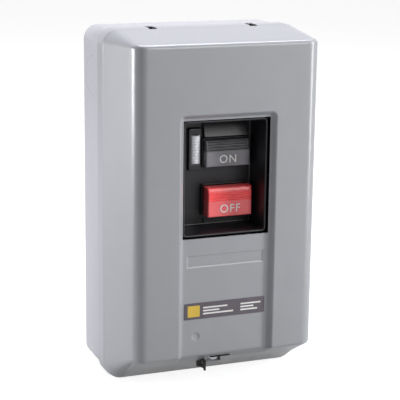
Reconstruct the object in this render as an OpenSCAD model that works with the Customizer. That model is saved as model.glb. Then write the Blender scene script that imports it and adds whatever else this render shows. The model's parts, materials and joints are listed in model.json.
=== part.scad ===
// Magnetic motor starter in a small wall enclosure, in millimetres.
// X is to the right, -Y is to the front and +Z is up. The origin is on the back face, midway
// between the four wall holes. Depths are measured forward from the back face, and heights
// upward from the underside of the back box.

/* [Back box] */
// Width of the back box
box_w = 146; // [140:1:170]
// Height of the back box
box_h = 250; // [246:1:280]
// Depth of the back box's side walls
box_d = 48; // [46:0.5:52]
// Thickness of the back box's sheet
box_t = 1.5; // [1.2:0.1:2]
// Outer radius of the back box's corners
corner_r = 10; // [6:0.5:14]

/* [Cover] */
// Overall depth, from the wall to the front face
total_d = 102; // [102:1:125]
// Thickness of the cover's sheet
cover_t = 1.2; // [0.9:0.1:1.5]
// Clearance between the cover's rim and the back box
rim_gap = 0.5; // [0.4:0.1:0.8]
// Depth at which the rim's rear edge lies
rim_back_d = 39.8; // [39:0.2:43]
// Depth at which the rim steps in to the cover's sides
rim_front_d = 55.9; // [54:0.1:60]
// How far the cover's sides step in from the rim
joggle = 2.2; // [1.5:0.1:3]
// Width of the front face, between sharp corners
front_w = 131.5; // [122:0.5:140]
// Height of the front face's lower edge
front_low = 25.4; // [22:0.2:27]
// How far the front face's upper edge lies below the box's top
front_drop = 4.3; // [3:0.1:8]
// Radius of the bends on the left and right of the front face
bend_r = 9.5; // [6:0.5:10]
// Radius of the bends above and below the front face
edge_r = 3; // [2:0.5:4]

/* [Front channel and window] */
// Width of the sunken channel
channel_w = 67.8; // [66:0.2:74]
// Depth of the sunken channel
channel_d = 4; // [2:0.25:5]
// Height of the channel's upper end
channel_top = 196.2; // [195:0.2:204]
// Width of the window
window_w = 64.4; // [63:0.2:65.4]
// Height of the window's lower edge
window_low = 110.3; // [108:0.2:111]
// Height of the window's upper edge
window_top = 193.4; // [192:0.2:194.6]
// Width of the label strip
label_w = 61; // [40:1:64]
// Height of the label strip's lower edge
label_low = 52.2; // [45:0.2:70]
// Height of the label strip itself
label_h = 11.8; // [8:0.2:14]
// Thickness of the label strip
label_t = 0.4; // [0.2:0.1:0.8]

/* [Cover fastening] */
// Half the width of the screw pocket
pocket_half = 6.2; // [5.6:0.1:6.6]
// How far the screw pocket's rear wall lies behind the front face
pocket_deep = 26; // [22:0.5:28]
// Height of the cover screw's axis above the underside, at the pocket's rear wall
screw_rise = 5.8; // [5.6:0.1:6.6]
// Height of the screw pocket's roof above the cover screw's axis
pocket_rise = 5.8; // [5:0.1:6.2]
// Radius of the cover screw's shank
screw_r = 2; // [1.5:0.1:2.2]
// Radius of the cover screw's head
screw_head_r = 4.2; // [3.6:0.1:4.6]
// Distance of each cover hook from the middle
hook_x = 38; // [25:1:50]
// Width of a cover hook
hook_w = 4.5; // [3:0.25:7]
// How far the middle of the two hooks lies to the right
hook_shift = 3.5; // [0:0.25:6]
// Distance of the seal lug to the left of the middle
seal_x = 14; // [13:0.25:18]
// Thickness of the seal lug's sheet
seal_t = 1.6; // [1.2:0.1:2]
// Length of the seal lug in depth, where it leaves the cover
seal_len = 12; // [10:0.25:13]
// Radius of the hole in the seal lug
seal_hole_r = 2.2; // [1.5:0.1:2.4]

/* [Wall holes and knockouts] */
// Distance between the wall holes across the box
wall_dx = 100; // [96:1:110]
// Distance between the wall holes up the box
wall_dz = 200; // [190:1:206]
// Radius of a wall hole
wall_hole_r = 2.75; // [2:0.25:3.5]
// Radius of the end knockouts
end_ko_r = 11.1; // [8:0.1:12]
// Distance of the end knockouts from the middle
end_ko_x = 30; // [20:1:44]
// Depth of the end knockouts' centres
end_ko_d = 19; // [16:0.5:24]
// Radius of the side knockouts
side_ko_r = 14.1; // [11:0.1:15]
// Height of the side knockouts' centres
side_ko_h = 216; // [190:1:220]
// Depth of the side knockouts' centres
side_ko_d = 21.5; // [18:0.5:26]

/* [Mounting plate] */
// Width of the mounting plate
plate_w = 86; // [84:1:90]
// Height of the mounting plate's lower edge
plate_low = 36; // [30:1:40]
// Height of the mounting plate's upper edge
plate_top = 216; // [212:1:225]
// Thickness of the mounting plate
plate_t = 1.6; // [1.2:0.1:2]
// Distance of the plate screws and pillars from the middle
plate_x = 38; // [37.5:0.25:39]

/* [Operator] */
// Depth at which the floor of the operator's well lies
well_d = 70; // [70:0.5:72]
// Thickness of the operator housing's floor
floor_t = 2.5; // [2:0.1:3]
// Thickness of the well's walls
well_t = 1.8; // [1.4:0.1:2]
// Gap between the well's walls and the window's edges
well_gap = 0.6; // [0.4:0.1:0.8]
// Half the width of the operator housing's flange
flange_half = 43; // [42:0.5:44]
// How far the lower pillars stand below the window's lower edge
pillar_drop = 2.3; // [1.3:0.1:3.8]
// How far the upper pillars stand above the window's upper edge
pillar_rise = 0.6; // [0:0.1:2]
// Width across the flats of a pillar
pillar_af = 7; // [6:0.5:7.5]
// How far the middle of the buttons lies to the right
button_x = 9.2; // [8.8:0.1:9.6]
// Half the width of the buttons
button_half = 16.7; // [15:0.1:17]
// Gap round the buttons
button_gap = 0.4; // [0.3:0.1:0.5]
// Space between the two buttons
button_space = 12.4; // [11.8:0.1:13.2]
// Half the height of the start button
start_half = 10.3; // [9:0.1:10.8]
// Depth of the start button's face
start_face = 78; // [77.5:0.25:80]
// Travel of the start button
start_travel = 3; // [2:0.25:3]
// Space between the window's lower edge and the stop button
stop_margin = 10.3; // [9.2:0.1:10.7]
// Half the height of the stop button
stop_half = 10.6; // [9.6:0.1:11.1]
// Depth of the stop button's face
stop_face = 83; // [82:0.25:86]
// Travel of the stop button
stop_travel = 4; // [3:0.25:4]
// Width of the pilot light's lens
lens_w = 6.5; // [4:0.1:6.8]
// Height of the pilot light's lens
lens_len = 20; // [14:0.5:22]
// How far the lens's middle lies to the left
lens_x = 13.4; // [13.2:0.1:13.6]
// How far the lens's middle lies above the start button's
lens_rise = 3.7; // [1.5:0.1:4.5]

/* [Contactor] */
// Width of the contactor's base
base_w = 64; // [64:0.5:66]
// Height of the contactor's lower end
base_low = 112; // [111:0.5:113]
// Height of the contactor's upper end
base_top = 210; // [208:0.5:212]
// Distance between two poles
pole_pitch = 16; // [15.6:0.1:16.2]
// Height of the moving contacts
pole_h = 180; // [179:0.25:181]
// Travel of the contactor's armature
pull_in = 4.2; // [3:0.1:4.2]
// Half the width of the magnet's stack
stack_half = 8; // [6:0.25:8.5]
// Height of the magnet's middle
magnet_h = 138; // [137.5:0.25:138.2]

/* [Overload relay] */
// Height of the relay's lower end
relay_low = 50; // [48:0.5:54]
// Height of the relay's upper end
relay_top = 110; // [106:0.5:111]
// Depth of the relay's front face
relay_d = 45; // [43:0.5:46]
// Distance of the reset pin from the middle
reset_x = 24; // [22:0.5:25]
// Height of the reset pin
reset_h = 100; // [96:0.5:103]

/* [Hidden] */
$fn = 48;

// Clearances that many pieces share
fit = 0.05;      // a screw or pin in its own hole
seal_gap = 0.15; // the seal lug in its slot
slide_gap = 0.4; // a piece that slides in a guide
cut = 1;         // how far a cut runs past the surface that it opens

// Depths of the stack that stands on the mounting plate
plate_front = box_t + plate_t;
plate_screw_h = [plate_low + 8, plate_top - 6];
base_floor = 4;
floor_front = plate_front + base_floor;
strap_t = 1.5;
ledge_t = 4.9;
strap_back = floor_front + ledge_t;
strap_front = strap_back + strap_t;
tip_t = 0.8;
tip_r = 2.5;

// Outline of the cover
rim_w = box_w + 2 * (rim_gap + cover_t);
rim_low = -rim_gap - cover_t;
rim_top = box_h + rim_gap + cover_t;
front_top = box_h - front_drop;
cover_run = total_d - rim_front_d;
side_slope = (rim_w / 2 - joggle - front_w / 2) / cover_run;
top_slope = (rim_top - joggle - front_top) / cover_run;
low_slope = (front_low - rim_low - joggle) / cover_run;
panel_d = total_d - channel_d;

// Hooks and bracket of the cover
pocket_d = total_d - pocket_deep;
screw_h = rim_low + joggle + (pocket_d - rim_front_d) * low_slope + screw_rise;
pocket_top = screw_h + pocket_rise;
hinge_d = 35.5;
hinge_h = box_h - box_t / 2;
hook_t = cover_t;
slot_play = 0.75;
slot_rear = 4;
slot_front = 3.3;
hook_drop = 2.3;
hook_reach = 7;
lip_d = pocket_d - cover_t - 2.8;
lip_t = 1.5;
bracket_half = pocket_half + 0.8;
bracket_back = 18;
bracket_drop = 5.4;
bracket_hole_play = 0.7;
seal_rear = panel_d - 16;
seal_front = seal_rear + seal_len;
seal_nose = 3.2;
seal_foot = 8;
seal_inside = 3;
seal_deep = 3.7;
seal_tip = 10.2;

// Small marks on the sheet metal
ko_gap = 0.3;
ground_x = box_w / 2 - 17;
ground_h = 32;
emboss_half = 28.5;
emboss_low = 90;
emboss_top = 98;
emboss_t = 0.4;
dimple_x = -21.7;
dimple_h = 39.3;
dimple_r = 2.7;
dimple_t = 0.5;

// Operator stack
pillar_low = window_low - pillar_drop;
pillar_top = window_top + pillar_rise;
stop_h = window_low + stop_margin + stop_half;
start_h = stop_h + stop_half + button_space + start_half;
lens_h = start_h + lens_rise;
floor_back = well_d - floor_t;
well_half = window_w / 2 - well_gap;
well_low = window_low + well_gap;
well_top = window_top - well_gap;
well_front = panel_d - cover_t - 0.8;
start_rear = well_d + 0.2 + start_travel;
stop_rear = well_d + 0.2 + stop_travel;
collar_t = 0.8;
collar_d = 3.5;
stem_r = 2.5;
stem_end = 60.5;
bar_t = 1;
block_back = 49.5;
block_wall = 2.5;
block_half_w = 6.5;
block_half_h = 10.5;
block_lug = 15.6;
bar_d = 62.2;
start_strip = bar_d - start_travel - 0.2 - 1.2;
stop_strip = bar_d + bar_t + 0.2;
strip_t = 1.2;
screw3_r = 1.5;
lug_screw = 13;
arm_back = 55.5;
arm_t = 1.5;
arm_r = 1.6;
arm_drop = 5;
lens_half = lens_w / 2;
lens_low = lens_h - lens_len / 2;
lens_top = lens_h + lens_len / 2;
frame_d = 3;
frame_rise = 5;
bulge = 1.6;
pit_x0 = -13;
pit_x1 = -5.5;
pit_t = 1.5;
pit_h = 5;
ramp_rise = 4;
ramp_d = 6;
holder_back = 53;
holder_wall = 1.2;
holder_half = 13;
lamp_r = 3.2;
lamp_d = 59;
lamp_top = 6;
lamp_low = 9;
lamp_cap = 2.5;

// Contactor stack
magnet_back = floor_front;
yoke_t = 7;
leg_end = 31;
leg_out = 7;
leg_mid = 12;
leg_gap = 10;
magnet_half = leg_mid / 2 + leg_gap + leg_out;
armature_gap = pull_in + 0.3;
armature_t = 7;
armature_back = leg_end + armature_gap;
carrier_back = armature_back + armature_t;
carrier_t = 4;
carrier_half = 26;
carrier_neck = pole_h - 9;
carrier_top = pole_h + 7;
carrier_cut = [12, 18];
wall_front = carrier_back - pull_in - 0.3 - 2;
arc_t = 2;
post_half = 4;
post_end = 17.5;
post_window = 19.5;
post_window_end = 30;
moving_tip_d = strap_front + tip_t + pull_in + 0.2;
bar_back = moving_tip_d + tip_t;
moving_bar_t = 1.2;
moving_half = 2.4;
contact_reach = 9;
wall_t = 2;
coil_d = 14.4;
coil_len = 15.8;
flange_t = 1.6;
coil_half_w = 17;
coil_half_h = 15.6;
bobbin_wall = 1;
spring_x = 21.5;
spring_h = 128;
carrier_low = spring_h - 5;
spring_seat = 16;
spring_mean = 3;
pin_r = 2;
pin_d = armature_back + 4.5;
head_t = 3;
head_r = 3.6;
plate_head_r = 3.5;
heater_head_r = 3.4;
small_head_t = 2.2;
screw_shank = 2;
line_screw_h = 204;
barrier_t = 1.6;
barrier_low = 176;
barrier_d = 22;
arc_low = 165;
arc_top = 198;
magnet_low = magnet_h - magnet_half;
magnet_top = magnet_h + magnet_half;
inner_strap = 5;
inner_half = 2.5;
groove_gap = 0.2;
strap_low = relay_top - 6;
outer_strap_w = 3.5;
outer_strap = -base_w / 2 + wall_t + 0.4;
holding_low = 149;
holding_x = 1.5 * pole_pitch;
holding_screw = 4;
coil_tab_rise = 6;
coil_tab_h = magnet_h + coil_tab_rise;
coil_tab_d = 25;
coil_tab_w = 8;
rivet_r = 1.6;
ring_x = 6;
ring_h = 2.4;
ring_t = 1.2;
ear_t = 3;

// Overload relay stack
heater_t = 1.2;
heater_top = relay_top - 9;
heater_low = relay_low + 8.5;
load_ledge = 30;
load_low = 38;
load_screw_h = 44.5;
poles = [-1.5, -0.5, 0.5, 1.5];
heater_poles = [-1.5, -0.5, 0.5];
heater_dip = 6;
heater_bend = 7.8;
heater_pad = 4.5;
heater_arm = 9;
heater_half = 3;
pocket_play = 1;
relay_screw_hole = 8;
trip_heights = [64, 80];
trip_screw = 6;

// Height above the underside to z
function up(h) = h - box_h / 2;
// Half width and ends of the cover's outline at a depth
function cover_half(d) = rim_w / 2 - joggle - (d - rim_front_d) * side_slope;
function cover_top(d) = rim_top - joggle - (d - rim_front_d) * top_slope;
function cover_low(d) = rim_low + joggle + (d - rim_front_d) * low_slope;
// Distance of a bend's centre from the sharp corner, beside a face of this slope
function inset(r, slope) = r * (sqrt(1 + slope * slope) - slope);

// Box between two x, two depths and two heights
module block(x0, x1, d0, d1, h0, h1)
    translate([x0, -d1, up(h0)]) cube([x1 - x0, d1 - d0, h1 - h0]);

// Round bar between two depths
module rod(x, h, d0, d1, r)
    translate([x, -d0, up(h)]) rotate([90, 0, 0]) cylinder(h = d1 - d0, r = r);

// Round bar between two x
module rod_x(x0, x1, d, h, r)
    translate([x0, -d, up(h)]) rotate([0, 90, 0]) cylinder(h = x1 - x0, r = r);

// Round bar between two heights
module rod_z(x, d, h0, h1, r)
    translate([x, -d, up(h0)]) cylinder(h = h1 - h0, r = r);

// Outline in x and height, extruded between two depths
module plate(d0, d1)
    translate([0, -d0, up(0)]) rotate([90, 0, 0]) linear_extrude(d1 - d0) children();

// Outline in depth and height, extruded between two x
module profile(x0, x1)
    translate([x1, 0, up(0)]) rotate([0, 0, -90]) rotate([90, 0, 0])
        linear_extrude(x1 - x0) children();

// Rounded rectangle, centred on x
module rounded_rect(half, h0, h1, r) {
    translate([-half + r, h0]) square([2 * (half - r), h1 - h0]);
    translate([-half, h0 + r]) square([2 * half, h1 - h0 - 2 * r]);
    for (s = [-1, 1]) for (h = [h0 + r, h1 - r]) translate([s * (half - r), h]) circle(r);
}

// Screw with a flat head, a slot, and a shank that runs back from under the head
module screw(x, h, under_head, length, r, hr, ht) {
    difference() {
        rod(x, h, under_head, under_head + ht, hr);
        block(x - hr - cut, x + hr + cut, under_head + ht * 0.6, under_head + ht + cut,
            h - 0.5, h + 0.5);
    }
    rod(x, h, under_head - length, under_head, r);
}

// Round wire wound round a line that runs in depth
module coil_spring(x, h, d0, d1, mean_r, wire_r, turns) {
    steps = 8;
    sides = 5;
    n = turns * steps;
    run = d1 - d0 - 2 * wire_r;
    ring = [for (i = [0:n]) for (k = [0:sides - 1])
        let (a = 360 * i / steps, b = 360 * k / sides, q = mean_r + wire_r * cos(b))
            [x + q * cos(a), -(d0 + wire_r + run * i / n + wire_r * sin(b)), up(h) + q * sin(a)]];
    skin = [for (i = [0:n - 1]) for (k = [0:sides - 1])
        let (p = i * sides + k, q = i * sides + (k + 1) % sides)
            each [[p, q, p + sides], [q, q + sides, p + sides]]];
    first = [[for (k = [sides - 1:-1:0]) k]];
    last = [[for (k = [0:sides - 1]) n * sides + k]];
    polyhedron(points = ring, faces = concat(skin, first, last), convexity = 10);
}

// Enclosure

module ko_places() {
    for (s = [-1, 1]) {
        rod_z(s * end_ko_x, end_ko_d, -cut, box_t + cut, end_ko_r);
        rod_z(s * end_ko_x, end_ko_d, box_h - box_t - cut, box_h + cut, end_ko_r);
    }
    rod_x(-box_w / 2 - cut, -box_w / 2 + box_t + cut, side_ko_d, side_ko_h, side_ko_r);
    rod_x(box_w / 2 - box_t - cut, box_w / 2 + cut, side_ko_d, side_ko_h, side_ko_r);
}

module plate_holes(d0, d1)
    for (s = [-1, 1]) for (h = plate_screw_h) rod(s * plate_x, h, d0, d1, screw_shank + fit);

module back_box() color("gainsboro") difference() {
    plate(0, box_d) rounded_rect(box_w / 2, 0, box_h, corner_r);
    plate(box_t, box_d + cut)
        rounded_rect(box_w / 2 - box_t, box_t, box_h - box_t, corner_r - box_t);
    ko_places();
    for (x = [-1, 1]) for (z = [-1, 1])
        rod(x * wall_dx / 2, box_h / 2 + z * wall_dz / 2, -cut, box_t + cut, wall_hole_r);
    for (s = [-1, 1])
        block(hook_shift + s * hook_x - hook_w / 2 - slot_play,
            hook_shift + s * hook_x + hook_w / 2 + slot_play,
            hinge_d - slot_rear, hinge_d + slot_front, box_h - box_t - cut, box_h + cut);
    plate_holes(-cut, box_t + cut);
    rod(ground_x, ground_h, -cut, box_t + cut, screw_shank + fit);
}

module knockout_discs() color("gainsboro") {
    for (s = [-1, 1]) {
        rod_z(s * end_ko_x, end_ko_d, 0, box_t, end_ko_r - ko_gap);
        rod_z(s * end_ko_x, end_ko_d, box_h - box_t, box_h, end_ko_r - ko_gap);
    }
    rod_x(-box_w / 2, -box_w / 2 + box_t, side_ko_d, side_ko_h, side_ko_r - ko_gap);
    rod_x(box_w / 2 - box_t, box_w / 2, side_ko_d, side_ko_h, side_ko_r - ko_gap);
}

module closing_bracket() color("silver") {
    riser_d = box_d + 1.5;
    difference() {
        union() {
            block(-bracket_half, bracket_half, bracket_back, riser_d, box_t, box_t + lip_t);
            block(-bracket_half, bracket_half, riser_d - lip_t, riser_d, box_t, pocket_top + 1.5);
            block(-bracket_half, bracket_half, riser_d - lip_t, lip_d,
                pocket_top + 1.5, pocket_top + 1.5 + lip_t);
            block(-bracket_half, bracket_half, lip_d - lip_t, lip_d,
                screw_h - bracket_drop, pocket_top + 1.5 + lip_t);
        }
        rod(0, screw_h, lip_d - lip_t - cut, lip_d + cut, screw_r + bracket_hole_play);
    }
}

// Solid form of the cover in front of its rim, shrunk by t
module cover_form(t, rear) hull() {
    plate(rear, rear + 0.1)
        rounded_rect(cover_half(rear) - t * sqrt(1 + side_slope * side_slope),
            cover_low(rear) + t * sqrt(1 + low_slope * low_slope),
            cover_top(rear) - t * sqrt(1 + top_slope * top_slope),
            corner_r + rim_gap + cover_t - joggle - t);
    for (s = [-1, 1])
        for (h = [front_low + inset(edge_r, low_slope), front_top - inset(edge_r, top_slope)])
            translate([s * (front_w / 2 - inset(bend_r, side_slope)), bend_r - total_d, up(h)])
                rotate_extrude($fn = 48) translate([bend_r - edge_r, 0]) difference() {
                    circle(edge_r - t, $fn = 32);
                    translate([edge_r - bend_r - 2 * edge_r, -edge_r])
                        square([2 * edge_r, 2 * edge_r]);
                }
}

module cover_hook(x) {
    hook_half = hook_w / 2;
    block(x - hook_half, x + hook_half, hinge_d - hook_t / 2, rim_back_d + 0.5,
        rim_top - cover_t, rim_top);
    block(x - hook_half, x + hook_half, hinge_d - hook_t / 2, hinge_d + hook_t / 2,
        hinge_h - hook_drop, rim_top);
    block(x - hook_half, x + hook_half, hinge_d - hook_reach, hinge_d + hook_t / 2,
        hinge_h - hook_drop, hinge_h - hook_drop + hook_t);
}

module cover() color("lightslategray") {
    channel_half = channel_w / 2;
    difference() {
        union() {
            plate(rim_back_d, rim_front_d)
                rounded_rect(rim_w / 2, rim_low, rim_top, corner_r + rim_gap + cover_t);
            cover_form(0, rim_front_d - 0.1);
        }
        plate(rim_back_d - cut, rim_front_d - cover_t)
            rounded_rect(rim_w / 2 - cover_t, rim_low + cover_t, rim_top - cover_t,
                corner_r + rim_gap);
        difference() {
            cover_form(cover_t, rim_front_d - cover_t - 0.1);
            block(-channel_half - cover_t, channel_half + cover_t, panel_d - cover_t,
                total_d + cut, -cut, channel_top + cover_t);
            block(-pocket_half - cover_t, pocket_half + cover_t, pocket_d - cover_t,
                panel_d - cover_t, -cut, pocket_top + cover_t);
        }
        block(-channel_half, channel_half, panel_d, total_d + cut, rim_low - cut, channel_top);
        block(-pocket_half, pocket_half, pocket_d, panel_d - 2 * cover_t, rim_low - cut,
            pocket_top);
        block(-window_w / 2, window_w / 2, panel_d - cover_t - cut, panel_d + cut, window_low,
            window_top);
        rod(0, screw_h, pocket_d - cover_t - cut, pocket_d + cut, screw_r + 0.4);
        block(-seal_x - seal_t / 2 - seal_gap, -seal_x + seal_t / 2 + seal_gap,
            seal_rear - seal_gap, seal_front + seal_gap, cover_low(seal_rear) - cut,
            cover_low(seal_front) + seal_inside);
        block(-emboss_half, emboss_half, panel_d - emboss_t, panel_d + cut, emboss_low,
            emboss_top);
        rod(dimple_x, dimple_h, panel_d - dimple_t, panel_d + cut, dimple_r);
    }
    for (s = [-1, 1]) cover_hook(hook_shift + s * hook_x);
}

// Lug for a seal, through a slot in the cover's underside, with a foot inside
module seal_lug() color("#303033") {
    inside = cover_t * sqrt(1 + low_slope * low_slope) + seal_gap;
    difference() {
        profile(-seal_x - seal_t / 2, -seal_x + seal_t / 2)
            polygon([[seal_rear, cover_low(seal_rear) + inside + seal_inside],
                [seal_rear, cover_low(seal_rear) - seal_deep],
                [seal_front + 1.2, cover_low(seal_front) - 7],
                [seal_front + seal_nose, cover_low(seal_front + seal_nose) - seal_tip],
                [seal_front + seal_nose, cover_low(seal_front) - 0.6],
                [seal_front, cover_low(seal_front) - 0.6],
                [seal_front, cover_low(seal_front) + inside + 1]]);
        rod_x(-seal_x - seal_t, -seal_x + seal_t, seal_front - 1.8,
            cover_low(seal_front) - seal_hole_r - 1.7, seal_hole_r);
    }
    profile(-seal_x - seal_foot, -seal_x + seal_t / 2)
        polygon([for (p = [[seal_rear, 0], [seal_front, 0], [seal_front, seal_t],
            [seal_rear, seal_t]]) [p[0], cover_low(p[0]) + inside + p[1]]]);
}

module label_strip() color("dimgray")
    block(-label_w / 2, label_w / 2, panel_d, panel_d + label_t, label_low, label_low + label_h);

module cover_screw() color("silver")
    screw(0, screw_h, pocket_d, 9, screw_r, screw_head_r, 3.4);

module screw_retainer() color("silver") difference() {
    rod(0, screw_h, pocket_d - cover_t - 1.2, pocket_d - cover_t - 0.3, screw_r + 2);
    rod(0, screw_h, pocket_d - cover_t - 2, pocket_d, screw_r + fit / 2);
}

module mounting_plate() color("silver") difference() {
    block(-plate_w / 2, plate_w / 2, box_t, plate_front, plate_low, plate_top);
    plate_holes(0, plate_front + cut);
    for (s = [-1, 1]) for (h = [pillar_low, pillar_top])
        rod(s * plate_x, h, 0, plate_front + cut, screw_shank + fit);
}

module plate_screws() color("silver")
    for (s = [-1, 1]) for (h = plate_screw_h)
        screw(s * plate_x, h, plate_front, plate_front - 0.2, screw_shank, plate_head_r,
            small_head_t);

module ground_screw() color("green")
    screw(ground_x, ground_h, box_t, box_t - 0.2, screw_shank, 4.2, 3);

// Operator

module around_button(half_h, h, grow)
    translate([button_x, 0]) rounded_rect(button_half + grow, h - half_h - grow,
        h + half_h + grow, 1 + grow);

module operator_housing() color("#202022") difference() {
    union() {
        plate(floor_back, well_d)
            rounded_rect(flange_half, pillar_low - 5, pillar_top + 5, 4);
        difference() {
            plate(well_d, well_front) rounded_rect(well_half, well_low, well_top, 1.5);
            plate(well_d - cut, well_front + cut)
                rounded_rect(well_half - well_t, well_low + well_t, well_top - well_t, 1);
        }
        plate(well_d, well_d + collar_d)
            around_button(start_half, start_h, button_gap + collar_t);
        plate(well_d, well_d + collar_d)
            around_button(stop_half, stop_h, button_gap + collar_t);
        block(-lens_x - lens_half - 2, -lens_x + lens_half + 1.1, well_d, well_d + frame_d,
            lens_low - frame_rise, lens_top + frame_rise);
        profile(button_x - button_half, button_x + button_half)
            polygon([[well_d, start_h + start_half + ramp_rise], [well_d, well_top - well_t],
                [well_d + ramp_d, well_top - well_t]]);
    }
    plate(well_d, well_d + collar_d + cut) around_button(start_half, start_h, button_gap);
    plate(well_d, well_d + collar_d + cut) around_button(stop_half, stop_h, button_gap);
    rod(button_x, start_h, floor_back - cut, well_d + cut, stem_r + slide_gap);
    rod(button_x, stop_h, floor_back - cut, well_d + cut, stem_r + slide_gap);
    rod(reset_x, stop_h - arm_drop, floor_back - cut, well_d + cut, arm_r + slide_gap);
    block(-lens_x - lens_half - fit, -lens_x + lens_half + fit, floor_back - cut,
        well_d + frame_d + cut, lens_low - fit, lens_top + fit);
    block(pit_x0, pit_x1, well_d - pit_t, well_d + cut, well_low + well_t,
        well_low + well_t + pit_h);
    for (s = [-1, 1]) for (h = [pillar_low, pillar_top])
        rod(s * plate_x, h, floor_back - cut, well_d + cut, screw_shank + fit);
}

module operator_pillars() color("silver")
    for (s = [-1, 1]) for (h = [pillar_low, pillar_top]) {
        difference() {
            translate([s * plate_x, -plate_front, up(h)]) rotate([90, 0, 0])
                cylinder(h = floor_back - plate_front, r = pillar_af / sqrt(3), $fn = 6);
            rod(s * plate_x, h, floor_back - 8, floor_back + cut, screw_shank + fit);
        }
        rod(s * plate_x, h, box_t + 0.1, plate_front, screw_shank);
    }

module operator_screws() color("silver")
    for (s = [-1, 1]) for (h = [pillar_low, pillar_top])
        screw(s * plate_x, h, well_d, floor_t + 7, screw_shank, plate_head_r, small_head_t);

// Push button: ribbed upper part, plain lower face, and a stem
module button(h, half_h, rear, face, end) {
    rib = 1.5;
    split = h + half_h * 0.25;
    top = h + half_h;
    low = h - half_h;
    difference() {
        profile(button_x - button_half, button_x + button_half)
            polygon([[rear, low], [face - 0.6, low], [face, low + 0.8], [face, split],
                [face - 2.4, top - 0.8], [face - 3.2, top], [rear, top]]);
        for (i = [1:3])
            profile(button_x - button_half + 1.5, button_x + button_half - 1.5)
                translate([face - i * 0.5, split + i * (top - split) / 4])
                    square([rib, 0.8], center = true);
    }
    rod(button_x, h, end, rear + 0.5, stem_r);
}

module start_button() color("#4a474a")
    button(start_h, start_half, start_rear, start_face, stem_end);

module stop_button() color("#d8232a")
    button(stop_h, stop_half, stop_rear, stop_face, stem_end);

module reset_arm() color("silver") {
    rod(reset_x, stop_h - arm_drop, arm_back, stop_rear, arm_r);
    block(reset_x - 3, reset_x + 3, arm_back, arm_back + arm_t, reset_h - 4, stop_h - 2);
}

module contact_bar(h) difference() {
    block(button_x - 2.5 - 0.8, button_x + 2.5 + 0.8, bar_d, bar_d + bar_t, h - 8, h + 8);
    rod(button_x, h, bar_d - cut, bar_d + bar_t + cut, stem_r + fit / 2);
}

module start_contact_bar() color("peru") contact_bar(start_h);
module stop_contact_bar() color("peru") contact_bar(stop_h);

module button_spring(h)
    coil_spring(button_x, h, block_back + block_wall, stem_end, 2, 0.35, 4);

module start_spring() color("silver") button_spring(start_h);
module stop_spring() color("silver") button_spring(stop_h);

// Moulded block behind a button, with a lug for a terminal at each end
module contact_block(h, strip_d) difference() {
    union() {
        block(button_x - block_half_w, button_x + block_half_w, block_back, floor_back,
            h - block_half_h, h + block_half_h);
        block(button_x - 4.5, button_x + 4.5, block_back, strip_d, h - block_lug, h + block_lug);
    }
    block(button_x - block_half_w + 1.5, button_x + block_half_w - 1.5,
        block_back + block_wall, floor_back + cut, h - block_half_h + 1.5, h + block_half_h - 1.5);
    for (s = [-1, 1]) {
        block(button_x - 2.5 - fit, button_x + 2.5 + fit, strip_d - fit,
            strip_d + strip_t + fit,
            s > 0 ? h + block_half_h - 2 : h - block_lug - cut,
            s > 0 ? h + block_lug + cut : h - block_half_h + 2);
        rod(button_x, h + s * lug_screw, strip_d - 6, strip_d + cut, screw3_r + fit);
    }
}

module start_contact_block() color("#2b2b30") contact_block(start_h, start_strip);
module stop_contact_block() color("#2b2b30") contact_block(stop_h, stop_strip);

module fixed_strips(h, strip_d)
    for (s = [-1, 1]) difference() {
        block(button_x - 2.5, button_x + 2.5, strip_d, strip_d + strip_t,
            s > 0 ? h + 5.6 : h - block_lug, s > 0 ? h + block_lug : h - 5.6);
        rod(button_x, h + s * lug_screw, strip_d - cut, strip_d + strip_t + cut, screw3_r + fit);
    }

module start_fixed_contacts() color("peru") fixed_strips(start_h, start_strip);
module stop_fixed_contacts() color("peru") fixed_strips(stop_h, stop_strip);

module block_terminal_screws() color("silver")
    for (b = [[start_h, start_strip], [stop_h, stop_strip]]) for (s = [-1, 1])
        screw(button_x, b[0] + s * lug_screw, b[1] + strip_t, 6, screw3_r, 2.2, 1.6);

module pilot_lens() color("white") {
    front = well_d + frame_d;
    block(-lens_x - lens_half, -lens_x + lens_half, floor_back, front, lens_low, lens_top);
    intersection() {
        block(-lens_x - lens_half, -lens_x + lens_half, front, front + lens_half, lens_low,
            lens_top);
        rod_z(-lens_x, front + bulge - lens_half, lens_low, lens_top, lens_half);
    }
}

module lamp_holder() color("#e8e2d0") difference() {
    half = lamp_r + 0.6;
    block(-lens_x - half - holder_wall, -lens_x + half + holder_wall, holder_back, floor_back,
        lens_h - holder_half, lens_h + holder_half);
    block(-lens_x - half, -lens_x + half, lamp_d - half - 0.2, floor_back + cut,
        lens_h - holder_half + holder_wall, lens_h + holder_half - holder_wall);
}

module pilot_lamp() color("orange") {
    rod_z(-lens_x, lamp_d, lens_h - lamp_low, lens_h + lamp_top, lamp_r);
    translate([-lens_x, -lamp_d, up(lens_h + lamp_top)]) sphere(r = lamp_r);
    rod_z(-lens_x, lamp_d, lens_h - lamp_low - lamp_cap, lens_h - lamp_low, lamp_r + 0.4);
}

// Contactor

module barrier(x) {
    half = barrier_t / 2;
    block(x - half, x + half, floor_front, wall_front, barrier_low, arc_top);
    block(x - half, x + half, floor_front, barrier_d, barrier_low, base_top);
}

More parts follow.
